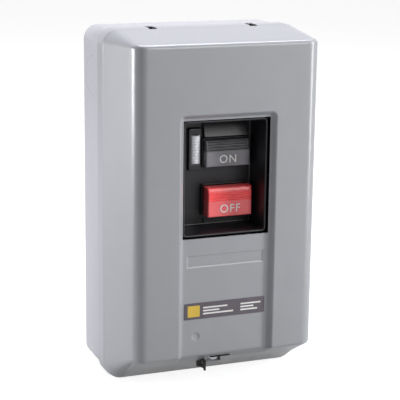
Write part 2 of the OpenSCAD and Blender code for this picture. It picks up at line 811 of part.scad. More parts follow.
module contactor_base() color("#3a2a22") difference() {
    union() {
        block(-base_w / 2, base_w / 2, plate_front, floor_front, base_low, base_top);
        for (s = [-1, 1])
            block(s > 0 ? base_w / 2 - wall_t : -base_w / 2,
                s > 0 ? base_w / 2 : wall_t - base_w / 2, floor_front, wall_front,
                base_low, arc_top);
        for (s = [-1, 1])
            block(s > 0 ? base_w / 2 - wall_t : -base_w / 2,
                s > 0 ? base_w / 2 : wall_t - base_w / 2, floor_front, barrier_d, base_low,
                base_top);
        block(-base_w / 2, base_w / 2, floor_front, barrier_d, base_low, base_low + wall_t);
        block(-base_w / 2, base_w / 2, floor_front, strap_back, pole_h + 4.5, base_top);
        block(-base_w / 2, base_w / 2, floor_front, strap_back, magnet_top + 2, pole_h - 4.5);
        for (x = [-pole_pitch, 0, pole_pitch]) barrier(x);
        for (s = [-1, 1]) rod(s * spring_x, spring_h, floor_front, spring_seat, 4);
        block(base_w / 2 - wall_t - 9, base_w / 2 - wall_t, floor_front, strap_back,
            holding_low - 1, magnet_top + 2);
    }
    for (p = [-0.5, 0.5])
        block(p * pole_pitch - inner_half - groove_gap, p * pole_pitch + inner_half + groove_gap,
            inner_strap - groove_gap, floor_front + groove_gap, base_low - cut, magnet_top + 2);
    block(outer_strap - groove_gap, outer_strap + outer_strap_w + groove_gap,
        strap_back - groove_gap, strap_front + groove_gap, base_low - cut,
        base_low + wall_t + cut);
    for (p = poles)
        rod(p * pole_pitch, line_screw_h, strap_back - 4, strap_back + cut, screw_shank + fit);
    rod(holding_x, holding_low + holding_screw, strap_back - 4, strap_back + cut,
        screw3_r + fit);
}

module magnet_core() color("#6f7378") difference() {
    union() {
        block(-stack_half, stack_half, magnet_back, magnet_back + yoke_t, magnet_low, magnet_top);
        for (h = [magnet_low, magnet_top - leg_out])
            block(-stack_half, stack_half, magnet_back, leg_end, h, h + leg_out);
        block(-stack_half, stack_half, magnet_back, leg_end - 0.3, magnet_h - leg_mid / 2,
            magnet_h + leg_mid / 2);
    }
    for (h = [magnet_low + leg_out / 2, magnet_top - leg_out / 2]) {
        difference() {
            block(-ring_x - fit, ring_x + fit, leg_end - ring_t, leg_end + cut, h - ring_h - fit,
                h + ring_h + fit);
            block(-ring_x + ring_t + fit, ring_x - ring_t - fit, leg_end - 2 * ring_t,
                leg_end + 2 * cut, h - ring_h + ring_t + fit, h + ring_h - ring_t - fit);
        }
        rod_x(-stack_half - cut, stack_half + cut, magnet_back + yoke_t / 2, h, rivet_r + fit);
    }
}

module core_rivets() color("silver")
    for (h = [magnet_low + leg_out / 2, magnet_top - leg_out / 2]) {
        rod_x(-stack_half - 1, stack_half + 1, magnet_back + yoke_t / 2, h, rivet_r);
        for (x = [-stack_half - 1, stack_half])
            rod_x(x, x + 1, magnet_back + yoke_t / 2, h, rivet_r + 0.8);
    }

module shading_rings() color("peru")
    for (h = [magnet_low + leg_out / 2, magnet_top - leg_out / 2]) difference() {
        block(-ring_x, ring_x, leg_end - ring_t, leg_end, h - ring_h, h + ring_h);
        block(-ring_x + ring_t, ring_x - ring_t, leg_end - 2 * ring_t, leg_end + cut,
            h - ring_h + ring_t, h + ring_h - ring_t);
    }

module coil_bobbin() color("#d9cfae") {
    leg_w = stack_half + 0.2;
    leg_h = leg_mid / 2 + 0.2;
    difference() {
        union() {
            block(-leg_w - bobbin_wall, leg_w + bobbin_wall, coil_d, coil_d + coil_len,
                magnet_h - leg_h - bobbin_wall, magnet_h + leg_h + bobbin_wall);
            for (d = [coil_d, coil_d + coil_len - flange_t])
                block(-coil_half_w, coil_half_w, d, d + flange_t, magnet_h - coil_half_h,
                    magnet_h + coil_half_h);
            for (s = [-1, 1])
                block(s > 0 ? coil_half_w - 1 : -coil_half_w - coil_tab_w,
                    s > 0 ? coil_half_w + coil_tab_w : 1 - coil_half_w, coil_tab_d,
                    coil_d + coil_len, coil_tab_h - 3.5, coil_tab_h + 3.5);
        }
        block(-leg_w, leg_w, coil_d - cut, coil_d + coil_len + cut, magnet_h - leg_h,
            magnet_h + leg_h);
        for (s = [-1, 1])
            rod(s * (coil_half_w + coil_tab_w / 2), coil_tab_h, coil_tab_d + 1,
                coil_d + coil_len + cut, screw3_r + fit);
    }
}

module coil_winding() color("#a8481c") difference() {
    edge = 1.1;
    tab_gap = 0.3;
    plate(coil_d + flange_t, coil_d + coil_len - flange_t)
        rounded_rect(coil_half_w - edge, magnet_h - coil_half_h + edge,
            magnet_h + coil_half_h - edge, 4);
    leg_w = stack_half + 0.2 + bobbin_wall;
    leg_h = leg_mid / 2 + 0.2 + bobbin_wall;
    block(-leg_w, leg_w, coil_d, coil_d + coil_len, magnet_h - leg_h, magnet_h + leg_h);
    for (s = [-1, 1])
        block(s > 0 ? coil_half_w - 1 - tab_gap : -coil_half_w - coil_tab_w - cut,
            s > 0 ? coil_half_w + coil_tab_w + cut : 1 - coil_half_w + tab_gap,
            coil_tab_d - tab_gap, coil_d + coil_len, coil_tab_h - 3.5 - tab_gap,
            coil_tab_h + 3.5 + tab_gap);
}

module coil_terminals() color("goldenrod")
    for (s = [-1, 1]) {
        x = s * (coil_half_w + coil_tab_w / 2);
        difference() {
            block(x - 3.5, x + 3.5, coil_d + coil_len, coil_d + coil_len + 0.8,
                coil_tab_h - 3, coil_tab_h + 3);
            rod(x, coil_tab_h, coil_d, coil_d + coil_len + 2, screw3_r + fit);
        }
        screw(x, coil_tab_h, coil_d + coil_len + 0.8, 5, screw3_r, 2.6, 1.6);
    }

module armature() color("#6f7378") difference() {
    block(-stack_half, stack_half, armature_back, carrier_back, magnet_low, magnet_top);
    rod_x(-stack_half - cut, stack_half + cut, pin_d, magnet_h, pin_r + fit);
}

module armature_pin() color("silver")
    rod_x(-stack_half - ear_t - 0.6, stack_half + ear_t + 0.6, pin_d, magnet_h, pin_r);

module contact_carrier() color("#7a2a1c") {
    difference() {
        block(-carrier_half, carrier_half, carrier_back, carrier_back + carrier_t,
            carrier_low, carrier_neck);
        for (s = [-1, 1])
            block(s > 0 ? carrier_cut[0] : -carrier_cut[1], s > 0 ? carrier_cut[1] : -carrier_cut[0],
                carrier_back - cut, carrier_back + carrier_t + cut, magnet_h, carrier_neck - leg_out);
    }
    block(-base_w / 2 + wall_t + 1, base_w / 2 - wall_t - 1, carrier_back,
        carrier_back + carrier_t, carrier_neck, carrier_top);
    for (p = poles) difference() {
        block(p * pole_pitch - post_half, p * pole_pitch + post_half, post_end,
            carrier_back + 0.5, pole_h - post_half, pole_h + post_half);
        block(p * pole_pitch - moving_half - 0.2, p * pole_pitch + moving_half + 0.2,
            post_window, post_window_end,
            pole_h - post_half - cut, pole_h + post_half + cut);
    }
    for (s = [-1, 1]) difference() {
        block(s > 0 ? stack_half + slide_gap : -stack_half - ear_t - slide_gap,
            s > 0 ? stack_half + ear_t + slide_gap : -stack_half - slide_gap, pin_d - 3.5,
            carrier_back + 0.5, magnet_h - 4, magnet_h + 4);
        rod_x(-stack_half - ear_t - cut, stack_half + ear_t + cut, pin_d, magnet_h, pin_r + fit);
    }
}

module moving_contacts() color("peru")
    for (p = poles) {
        block(p * pole_pitch - moving_half, p * pole_pitch + moving_half, bar_back,
            bar_back + moving_bar_t, pole_h - contact_reach - tip_r,
            pole_h + contact_reach + tip_r);
        for (s = [-1, 1])
            rod(p * pole_pitch, pole_h + s * contact_reach, moving_tip_d, bar_back, tip_r - 0.2);
    }

module contact_springs() color("silver")
    for (p = poles)
        coil_spring(p * pole_pitch, pole_h, bar_back + moving_bar_t, post_window_end, 1.6,
            0.3, 4);

module kickout_springs() color("silver")
    for (s = [-1, 1])
        coil_spring(s * spring_x, spring_h, spring_seat, carrier_back, spring_mean, 0.4, 6);

module line_contacts() color("peru")
    for (p = poles) difference() {
        union() {
            block(p * pole_pitch - 4, p * pole_pitch + 4, strap_back, strap_front,
                pole_h + contact_reach - 3, base_top - 1);
            rod(p * pole_pitch, pole_h + contact_reach, strap_front, strap_front + tip_t, tip_r);
        }
        rod(p * pole_pitch, line_screw_h, strap_back - cut, strap_front + cut, screw_shank + fit);
    }

module load_tip(x) {
    block(x - 4, x + 4, strap_back, strap_front, magnet_top + 0.5, pole_h - contact_reach + 4);
    rod(x, pole_h - contact_reach, strap_front, strap_front + tip_t, tip_r);
}

module load_contacts() color("peru") {
    load_tip(-1.5 * pole_pitch);
    block(outer_strap, outer_strap + outer_strap_w, strap_back, strap_front, strap_low,
        magnet_top + 3);
    for (p = [-0.5, 0.5]) {
        x = p * pole_pitch;
        load_tip(x);
        block(x - inner_half, x + inner_half, inner_strap, strap_front, magnet_top + 0.5,
            magnet_top + 2);
        block(x - inner_half, x + inner_half, inner_strap, inner_strap + strap_t, strap_low,
            magnet_top + 2);
    }
}

module holding_contact() color("peru") {
    load_tip(holding_x);
    difference() {
        block(holding_x - 3, holding_x + 3, strap_back, strap_front, holding_low,
            magnet_top + 3);
        rod(holding_x, holding_low + holding_screw, strap_back - cut, strap_front + cut,
            screw3_r + fit);
    }
}

module contactor_screws() color("silver") {
    for (p = poles)
        screw(p * pole_pitch, line_screw_h, strap_front, strap_t + 3.5, screw_shank, head_r,
            head_t);
    screw(holding_x, holding_low + holding_screw, strap_front, strap_t + 3, screw3_r, 2.6, 2);
}

module arc_cover() color("#26262a") difference() {
    block(-base_w / 2, base_w / 2, wall_front, wall_front + arc_t, arc_low, arc_top);
    for (p = poles)
        block(p * pole_pitch - post_half - slide_gap, p * pole_pitch + post_half + slide_gap,
            wall_front - cut, wall_front + arc_t + cut, pole_h - post_half - slide_gap,
            pole_h + post_half + slide_gap);
}

// Overload relay

module overload_base() color("#2c2a2c") difference() {
    union() {
        block(-base_w / 2, base_w / 2, plate_front, relay_d, relay_low, relay_top);
        block(-base_w / 2, base_w / 2, plate_front, load_ledge, load_low, relay_low);
    }
    for (p = heater_poles) {
        x = p * pole_pitch;
        block(x - heater_pad - pocket_play, x + heater_pad + pocket_play,
            relay_d - heater_dip - 2 * pocket_play, relay_d + cut,
            heater_low + heater_bend - 2 * pocket_play, heater_top - heater_bend + 2 * pocket_play);
        for (h = [heater_low, heater_top])
            rod(x, h, relay_d - relay_screw_hole, relay_d + cut, screw_shank + fit);
        block(x - heater_pad - fit, x + heater_pad + fit, load_ledge, load_ledge + strap_t + fit,
            relay_low - cut, relay_low + 4);
        rod(x, load_screw_h, load_ledge - 6, load_ledge + cut, screw_shank + fit);
    }
    block(outer_strap - groove_gap, outer_strap + outer_strap_w + groove_gap,
        strap_back - groove_gap, strap_front + groove_gap, strap_low - groove_gap,
        relay_top + cut);
    for (p = [-0.5, 0.5])
        block(p * pole_pitch - inner_half - groove_gap, p * pole_pitch + inner_half + groove_gap,
            inner_strap - groove_gap, inner_strap + strap_t + groove_gap,
            strap_low - groove_gap, relay_top + cut);
    rod(reset_x, reset_h, relay_d - 10, relay_d + cut, pin_r + slide_gap);
    for (h = trip_heights)
        rod(reset_x, h, relay_d - trip_screw, relay_d + cut, screw3_r + fit);
}

module heater_elements() color("peru")
    for (p = heater_poles) {
        x = p * pole_pitch;
        for (s = [-1, 1]) {
            h = s > 0 ? heater_top : heater_low;
            difference() {
                block(x - heater_pad, x + heater_pad, relay_d, relay_d + heater_t,
                    h - heater_pad, h + heater_pad);
                rod(x, h, relay_d - cut, relay_d + heater_t + cut, screw_shank + fit);
            }
        }
        block(x - heater_half, x + heater_half, relay_d, relay_d + heater_t,
            heater_low + heater_pad, heater_low + heater_arm);
        block(x - heater_half, x + heater_half, relay_d, relay_d + heater_t,
            heater_top - heater_arm, heater_top - heater_pad);
        for (h = [heater_low + heater_bend, heater_top - heater_bend - heater_t])
            block(x - heater_half, x + heater_half, relay_d - heater_dip, relay_d + heater_t, h,
                h + heater_t);
        block(x - heater_half, x + heater_half, relay_d - heater_dip,
            relay_d - heater_dip + heater_t,
            heater_low + heater_bend, heater_top - heater_bend);
    }

module heater_screws() color("silver")
    for (p = heater_poles) for (h = [heater_low, heater_top])
        screw(p * pole_pitch, h, relay_d + heater_t, relay_screw_hole, screw_shank,
            heater_head_r, small_head_t);

module reset_pin() color("#2060b0") {
    rod(reset_x, reset_h, relay_d - 5, arm_back - 0.3, pin_r);
    rod(reset_x, reset_h, arm_back - 2.3, arm_back - 0.3, 3.4);
}

module reset_spring() color("silver")
    coil_spring(reset_x, reset_h, relay_d, arm_back - 2.3, 2.8, 0.3, 4);

module trip_terminals() color("goldenrod")
    for (h = trip_heights) {
        difference() {
            block(reset_x - 4, reset_x + 4, relay_d, relay_d + 1, h - 4, h + 4);
            rod(reset_x, h, relay_d - cut, relay_d + 2, screw3_r + fit);
        }
        screw(reset_x, h, relay_d + 1, trip_screw, screw3_r, 2.8, 2);
    }

module load_terminals() color("goldenrod")
    for (p = heater_poles) difference() {
        block(p * pole_pitch - heater_pad, p * pole_pitch + heater_pad, load_ledge,
            load_ledge + strap_t,
            load_low + 1, relay_low + 3.8);
        rod(p * pole_pitch, load_screw_h, load_ledge - cut, load_ledge + strap_t + cut,
            screw_shank + fit);
    }

module load_screws() color("silver")
    for (p = heater_poles)
        screw(p * pole_pitch, load_screw_h, load_ledge + strap_t, strap_t + 5, screw_shank,
            head_r, head_t);

back_box();
knockout_discs();
closing_bracket();
cover();
seal_lug();
label_strip();
cover_screw();
screw_retainer();
mounting_plate();
plate_screws();
ground_screw();
operator_housing();
operator_pillars();
operator_screws();
start_button();
start_contact_bar();
start_spring();
start_contact_block();
start_fixed_contacts();
stop_button();
reset_arm();
stop_contact_bar();
stop_spring();
stop_contact_block();
stop_fixed_contacts();
block_terminal_screws();
pilot_lens();
lamp_holder();
pilot_lamp();
contactor_base();
magnet_core();
core_rivets();
shading_rings();
coil_bobbin();
coil_winding();
coil_terminals();
armature();
armature_pin();
contact_carrier();
moving_contacts();
contact_springs();
kickout_springs();
line_contacts();
load_contacts();
holding_contact();
contactor_screws();
arc_cover();
overload_base();
heater_elements();
heater_screws();
reset_pin();
reset_spring();
trip_terminals();
load_terminals();
load_screws();
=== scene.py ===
import json
import math

import bmesh
import bpy
from mathutils import Matrix, Vector

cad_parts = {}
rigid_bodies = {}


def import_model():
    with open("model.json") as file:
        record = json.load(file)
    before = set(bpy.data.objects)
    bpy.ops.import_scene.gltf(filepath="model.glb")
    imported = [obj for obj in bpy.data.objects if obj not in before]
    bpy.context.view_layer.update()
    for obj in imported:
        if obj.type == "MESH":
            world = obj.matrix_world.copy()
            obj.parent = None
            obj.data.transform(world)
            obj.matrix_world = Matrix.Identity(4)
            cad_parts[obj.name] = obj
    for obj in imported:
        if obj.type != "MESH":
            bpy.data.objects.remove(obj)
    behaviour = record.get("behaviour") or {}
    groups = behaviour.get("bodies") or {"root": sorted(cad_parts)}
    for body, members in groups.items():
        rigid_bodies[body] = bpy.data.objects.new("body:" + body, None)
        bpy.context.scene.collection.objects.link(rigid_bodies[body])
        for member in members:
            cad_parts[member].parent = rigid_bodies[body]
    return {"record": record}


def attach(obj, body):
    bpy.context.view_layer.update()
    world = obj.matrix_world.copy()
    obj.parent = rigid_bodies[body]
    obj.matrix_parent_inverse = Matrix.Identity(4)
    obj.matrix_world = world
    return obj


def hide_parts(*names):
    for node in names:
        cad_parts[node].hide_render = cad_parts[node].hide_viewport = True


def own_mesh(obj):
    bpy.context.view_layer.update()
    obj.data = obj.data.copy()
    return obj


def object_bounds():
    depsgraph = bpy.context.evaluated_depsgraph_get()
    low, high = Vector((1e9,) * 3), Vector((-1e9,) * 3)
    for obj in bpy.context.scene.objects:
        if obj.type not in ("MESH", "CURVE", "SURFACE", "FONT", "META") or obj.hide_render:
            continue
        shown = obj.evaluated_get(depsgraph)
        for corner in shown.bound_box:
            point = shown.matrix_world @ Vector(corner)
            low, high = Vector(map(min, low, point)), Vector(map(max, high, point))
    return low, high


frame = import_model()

CAD_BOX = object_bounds()
MM = 0.001
BOX_H = 250.0
BOX_W = 146.0
MERGE = 2e-6  # vertices closer than this, in m, are one


def at(x, d, h):
    """Point from x, depth in front of the wall and height above the underside, in mm."""
    return Vector((x * MM, -d * MM, (h - BOX_H / 2) * MM))


# ---------------------------------------------------------------- materials

def new_material(name):
    m = bpy.data.materials.new(name)
    m.use_nodes = True
    nodes = m.node_tree.nodes
    return m, nodes, m.node_tree.links, nodes["Principled BSDF"]


def two_colours(nodes, links, texture, low_at, low, high_at, high):
    """Colour ramp over a texture's factor, from one colour to another."""
    ramp = nodes.new("ShaderNodeValToRGB")
    for element, position, color in zip(ramp.color_ramp.elements, (low_at, high_at), (low, high)):
        element.position = position
        element.color = color + [1]
    links.new(texture.outputs["Fac"], ramp.inputs["Fac"])
    return ramp.outputs["Color"]


def relief(nodes, links, bsdf, texture, strength, distance):
    """Bump from a texture's factor; the distance is in m."""
    node = nodes.new("ShaderNodeBump")
    node.inputs["Strength"].default_value = strength
    node.inputs["Distance"].default_value = distance
    links.new(texture.outputs["Fac"], node.inputs["Height"])
    links.new(node.outputs["Normal"], bsdf.inputs["Normal"])


def math_node(nodes, links, operation, *values):
    """Math node; each value is a socket to link or a plain number."""
    node = nodes.new("ShaderNodeMath")
    node.operation = operation
    for socket, value in zip(node.inputs, values):
        if isinstance(value, float):
            socket.default_value = value
        else:
            links.new(value, socket)
    return node.outputs[0]


def finish(name, color, rough, metallic=0.0, grain=900.0, bump=0.02, vary=0.05,
           rough_vary=0.06, coat=0.0, coat_rough=0.1, stretch=(1, 1, 1), alpha=None,
           subsurface=0.0, shade_above=None):
    """A plain finish with fine grain, slight colour variation and uneven gloss.

    The last argument is (height, colour), a painted shade: above that height above the underside
    the colour is multiplied by the given colour.
    """
    m, nodes, links, bsdf = new_material(name)
    coords = nodes.new("ShaderNodeTexCoord")
    mapping = nodes.new("ShaderNodeMapping")
    mapping.inputs["Scale"].default_value = stretch
    links.new(coords.outputs["Object"], mapping.inputs["Vector"])
    broad = nodes.new("ShaderNodeTexNoise")
    broad.inputs["Scale"].default_value = grain / 22
    broad.inputs["Detail"].default_value = 4
    links.new(mapping.outputs["Vector"], broad.inputs["Vector"])
    fine = nodes.new("ShaderNodeTexNoise")
    fine.inputs["Scale"].default_value = grain
    fine.inputs["Detail"].default_value = 2
    links.new(mapping.outputs["Vector"], fine.inputs["Vector"])
    ramp = two_colours(nodes, links, broad, 0.3, [c * (1 - vary) for c in color],
                       0.7, [min(1, c * (1 + vary)) for c in color])
    links.new(ramp, bsdf.inputs["Base Color"])
    # painted shade: above the given height the colour is darkened by multiplying it
    if shade_above:
        split = nodes.new("ShaderNodeSeparateXYZ")
        links.new(coords.outputs["Object"], split.inputs["Vector"])
        share = nodes.new("ShaderNodeMapRange")
        share.inputs["From Min"].default_value = (shade_above[0] - BOX_H / 2 - 0.5) * MM
        share.inputs["From Max"].default_value = (shade_above[0] - BOX_H / 2 + 0.5) * MM
        links.new(split.outputs["Z"], share.inputs["Value"])
        shade_tint = nodes.new("ShaderNodeMix")
        shade_tint.data_type = "RGBA"
        shade_tint.blend_type = "MULTIPLY"
        shade_tint.inputs[7].default_value = list(shade_above[1]) + [1]
        links.new(share.outputs["Result"], shade_tint.inputs[0])
        links.new(ramp, shade_tint.inputs[6])
        links.new(shade_tint.outputs[2], bsdf.inputs["Base Color"])
    span = nodes.new("ShaderNodeMapRange")
    span.inputs["To Min"].default_value = max(0.02, rough - rough_vary)
    span.inputs["To Max"].default_value = min(1, rough + rough_vary)
    links.new(fine.outputs["Fac"], span.inputs["Value"])
    links.new(span.outputs["Result"], bsdf.inputs["Roughness"])
    relief(nodes, links, bsdf, fine, bump, 0.0004)
    bsdf.inputs["Metallic"].default_value = metallic
    bsdf.inputs["IOR"].default_value = 1.5
    if coat:
        bsdf.inputs["Coat Weight"].default_value = coat
        bsdf.inputs["Coat Roughness"].default_value = coat_rough
    if alpha is not None:
        bsdf.inputs["Alpha"].default_value = alpha
    if subsurface:
        bsdf.inputs["Subsurface Weight"].default_value = subsurface
        bsdf.inputs["Subsurface Radius"].default_value = (0.002, 0.002, 0.002)
    return m


def laminated(name, color):
    """Edges of stacked steel sheets: fine stripes across x."""
    m, nodes, links, bsdf = new_material(name)
    coords = nodes.new("ShaderNodeTexCoord")
    wave = nodes.new("ShaderNodeTexWave")
    wave.wave_type = "BANDS"
    wave.bands_direction = "X"
    wave.inputs["Scale"].default_value = 320
    wave.inputs["Distortion"].default_value = 0.4
    wave.inputs["Detail"].default_value = 1
    links.new(coords.outputs["Object"], wave.inputs["Vector"])
    ramp = two_colours(nodes, links, wave, 0.15, [c * 0.45 for c in color], 0.5, list(color))
    links.new(ramp, bsdf.inputs["Base Color"])
    relief(nodes, links, bsdf, wave, 0.35, 0.0003)
    bsdf.inputs["Metallic"].default_value = 0.85
    bsdf.inputs["Roughness"].default_value = 0.42
    return m


MAT = {
    "paint": finish("cover_enamel", (0.335, 0.345, 0.365), 0.33, grain=1500, bump=0.035,
                    vary=0.015, rough_vary=0.03, coat=0.35, coat_rough=0.2),
    # the back box has the cover's grey made lighter: painted light for its brighter-lit sides
    "box_paint": finish("box_enamel", (0.42, 0.42, 0.455), 0.36, grain=1500, bump=0.035,
                        vary=0.015, rough_vary=0.03, coat=0.3, coat_rough=0.22),
    "zinc": finish("zinc_plate", (0.70, 0.71, 0.73), 0.30, metallic=1.0, grain=1600, bump=0.05,
                   vary=0.08, rough_vary=0.08),
    "green": finish("ground_green", (0.03, 0.22, 0.06), 0.35, metallic=0.55, grain=1600,
                    bump=0.04, vary=0.08),
    "black": finish("black_moulding", (0.0125, 0.012, 0.0155), 0.38, grain=2200, bump=0.06,
                    vary=0.1, rough_vary=0.08),
    # the START cap's grooved upper part is darkened above 166.8: painted shade
    "charcoal": finish("start_cap", (0.235, 0.228, 0.25), 0.42, grain=2400, bump=0.08,
                       vary=0.12, rough_vary=0.08, shade_above=(166.8, (0.3, 0.3, 0.31))),
    # the STOP cap's ribbed upper part is a darker, deeper red above 131.9: painted shade
    "red": finish("stop_cap", (0.97, 0.165, 0.175), 0.36, grain=2200, bump=0.05, vary=0.05,
                  rough_vary=0.06, coat=0.2, subsurface=0.08, shade_above=(131.9, (1.0, 0.6, 0.6))),
    "lens": finish("lens_white", (0.86, 0.88, 0.93), 0.22, grain=1500, bump=0.03, vary=0.03,
                   coat=0.5, subsurface=0.3),
    "marking": finish("white_marking", (0.82, 0.82, 0.80), 0.5, grain=2400, bump=0.06,
                      vary=0.05),
    "label": finish("label_film", (0.115, 0.10, 0.118), 0.40, grain=1900, bump=0.03, vary=0.06),
    "yellow": finish("label_yellow", (0.72, 0.50, 0.07), 0.42, grain=1900, bump=0.03,
                     vary=0.06),
    "copper": finish("copper", (0.72, 0.34, 0.20), 0.28, metallic=1.0, grain=1800, bump=0.05,
                     vary=0.12, rough_vary=0.1),
    "brass": finish("brass", (0.78, 0.58, 0.24), 0.28, metallic=1.0, grain=1800, bump=0.05,
                    vary=0.1, rough_vary=0.1),
    "wire": finish("spring_wire", (0.55, 0.56, 0.58), 0.25, metallic=1.0, grain=2600,
                   bump=0.03, vary=0.08),
    "nylon": finish("bobbin_nylon", (0.62, 0.55, 0.38), 0.45, grain=1700, bump=0.05, vary=0.06,
                    subsurface=0.1),
    "glass": finish("lamp_glass", (0.95, 0.45, 0.18), 0.08, grain=1500, bump=0.0, vary=0.05,
                    rough_vary=0.02, alpha=0.45),
    "phenolic": finish("brown_phenolic", (0.050, 0.024, 0.015), 0.42, grain=1900, bump=0.08,
                       vary=0.22, rough_vary=0.1),
    "tape": finish("coil_tape", (0.20, 0.045, 0.018), 0.5, grain=1100, bump=0.35, vary=0.2,
                   rough_vary=0.12, stretch=(0.25, 3, 0.25)),
    "carrier": finish("carrier_red", (0.16, 0.022, 0.014), 0.42, grain=1900, bump=0.08,
                      vary=0.2, rough_vary=0.1),
    "oxide": finish("black_oxide", (0.022, 0.021, 0.023), 0.45, metallic=0.6, grain=2200,
                    bump=0.08, vary=0.15, rough_vary=0.1),
    "blue": finish("reset_blue", (0.03, 0.10, 0.36), 0.36, grain=2000, bump=0.05, vary=0.06),
    "lamination": laminated("lamination", (0.34, 0.35, 0.37)),
}

SLOT_MATERIAL = {
    "cover_paint": "paint", "box_paint": "box_paint", "zinc_plate": "zinc",
    "label_film": "label", "ground_green": "green", "black_moulding": "black",
    "start_cap": "charcoal", "stop_cap": "red", "copper": "copper", "brass_plate": "brass",
    "spring_wire": "wire", "lens_white": "lens", "bobbin_nylon": "nylon",
    "lamp_glass": "glass", "brown_phenolic": "phenolic", "lamination": "lamination",
    "coil_tape": "tape", "carrier_red": "carrier", "reset_blue": "blue",
    "dark_steel": "oxide",
}
BODY = {node: body for body, nodes in frame["record"]["behaviour"]["bodies"].items()
        for node in nodes}
SLOT = {row["node"]: row["material_slot"] for row in frame["record"]["subparts"]}

# every CAD node gets the procedural finish of its slot
for row in frame["record"]["subparts"]:
    for obj in bpy.data.objects:
        if obj.type == "MESH" and obj.name == row["node"]:
            obj.data.materials.clear()
            obj.data.materials.append(MAT[SLOT_MATERIAL[row["material_slot"]]])


# ---------------------------------------------------------------- mesh helpers

def shade(mesh, angle=32):
    """Smooth shading, with edges sharper than the angle kept crisp."""
    for p in mesh.polygons:
        p.use_smooth = True
    mesh.set_sharp_from_angle(angle=math.radians(angle))


def place(name, mesh, body, material, replaces=(), angle=32):
    """A visible piece that rides on a body and stands in for the CAD nodes it replaces."""
    mesh.materials.append(MAT[material])
    shade(mesh, angle)
    obj = bpy.data.objects.new(name, mesh)
    bpy.context.scene.collection.objects.link(obj)
    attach(obj, body)
    if replaces:
        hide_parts(*replaces)
    return obj


class Patches:
    """Grids of points that share their borders; merged into one skin."""

    def __init__(self):
        self.verts = []
        self.faces = []

    def grid(self, rows, keep=None):
        """Faces between rows of points; keep(row, column) says which ones are made."""
        base = len(self.verts)
        n = len(rows[0])
        for row in rows:
            self.verts.extend(row)
        for i in range(len(rows) - 1):
            for j in range(n - 1):
                if keep is not None and not keep(i, j):
                    continue
                a = base + i * n + j
                self.faces.append((a, a + 1, a + n + 1, a + n))

    def loft(self, rings, closed=False):
        """Closed loops of equal length, joined in order; closed joins the last to the first."""
        base = len(self.verts)
        n = len(rings[0])
        for ring in rings:
            self.verts.extend(ring)
        last = len(rings) if closed else len(rings) - 1
        for i in range(last):
            a, b = base + i * n, base + (i + 1) % len(rings) * n
            for j in range(n):
                k = (j + 1) % n
                self.faces.append((a + j, a + k, b + k, b + j))
        if not closed:
            self.faces.append(tuple(base + j for j in reversed(range(n))))
            self.faces.append(tuple(base + (len(rings) - 1) * n + j for j in range(n)))

    def lathe(self, x, h, profile, n=36):
        """Turned about a line in depth: profile holds (depth, radius)."""
        self.loft([[at(x + r * math.cos(2 * math.pi * k / n), d,
                       h + r * math.sin(2 * math.pi * k / n)) for k in range(n)]
                   for d, r in profile])

    def slab(self, x0, x1, d0, d1, h0, h1):
        corners = [(x0, h0), (x1, h0), (x1, h1), (x0, h1)]
        self.loft([[at(x, d, h) for x, h in corners] for d in (d0, d1)])

    def mesh(self, name):
        bm = bmesh.new()
        vs = [bm.verts.new(v) for v in self.verts]
        for f in self.faces:
            bm.faces.new([vs[k] for k in f])
        bmesh.ops.remove_doubles(bm, verts=bm.verts, dist=MERGE)
        bmesh.ops.recalc_face_normals(bm, faces=bm.faces)
        mesh = bpy.data.meshes.new(name)
        bm.to_mesh(mesh)
        bm.free()
        return mesh


def apply_modifiers(obj):
    """Bakes an object's modifiers into its mesh."""
    graph = bpy.context.evaluated_depsgraph_get()
    done = bpy.data.meshes.new_from_object(obj.evaluated_get(graph))
    obj.modifiers.clear()
    old = obj.data
    obj.data = done
    bpy.data.meshes.remove(old)


def bevelled(obj, width, segments):
    """Rounds the object's edges and keeps its flat faces flat to the eye."""
    bevel = obj.modifiers.new("edges", "BEVEL")
    bevel.width = width * MM
    bevel.segments = segments
    bevel.limit_method = "ANGLE"
    bevel.angle_limit = math.radians(30)
    bevel.use_clamp_overlap = True
    apply_modifiers(obj)
    shade(obj.data)
    flat = obj.modifiers.new("flat_faces", "WEIGHTED_NORMAL")
    flat.keep_sharp = True
    apply_modifiers(obj)


def cut_out(obj, cutter):
    """Takes the cutter's mesh away from the object."""
    tool = bpy.data.objects.new("tool", cutter)
    bpy.context.scene.collection.objects.link(tool)
    boolean = obj.modifiers.new("cut", "BOOLEAN")
    boolean.operation = "DIFFERENCE"
    boolean.solver = "EXACT"
    boolean.object = tool
    apply_modifiers(obj)
    bpy.data.objects.remove(tool)
    bpy.data.meshes.remove(cutter)
    shade(obj.data)


def soften(node, width):
    """The CAD node's own solids with their edges rounded, as a piece that replaces it."""
    bm = bmesh.new()
    bm.from_mesh(bpy.data.objects[node].data)
    bmesh.ops.remove_doubles(bm, verts=bm.verts, dist=MERGE)
    bmesh.ops.dissolve_limit(bm, angle_limit=math.radians(1), verts=bm.verts, edges=bm.edges)
    mesh = bpy.data.meshes.new(node + "_finished")
    bm.to_mesh(mesh)
    bm.free()
    obj = place(node + "_finished", mesh, BODY[node], SLOT_MATERIAL[SLOT[node]],
                (node,))
    bevelled(obj, width, 2)


def loop(half, h0, h1, r, d, cx=0.0, n=8):
    """Rounded rectangle at a depth."""
    points = []
    for sx, sh, start in ((1, 1, 0), (-1, 1, 90), (-1, -1, 180), (1, -1, 270)):
        px, ph = cx + sx * (half - r), (h1 - r if sh > 0 else h0 + r)
        for k in range(n + 1):
            a = math.radians(start + 90 * k / n)
            points.append(at(px + r * math.cos(a), d, ph + r * math.sin(a)))
    return points


def smoothstep(t):
    t = min(1.0, max(0.0, t))
    return t * t * (3 - 2 * t)


def spread(a, b, n):
    """n equal steps from a to b."""
    return [a + (b - a) * i / n for i in range(n + 1)]


def merged(*lists):
    """All values in order, without those that lie closer than 0.04 mm to the one before."""
    out = []
    for v in sorted(v for one in lists for v in one):
        if not out or v - out[-1] > 0.04:
            out.append(v)
    return out


# ---------------------------------------------------------------- cover

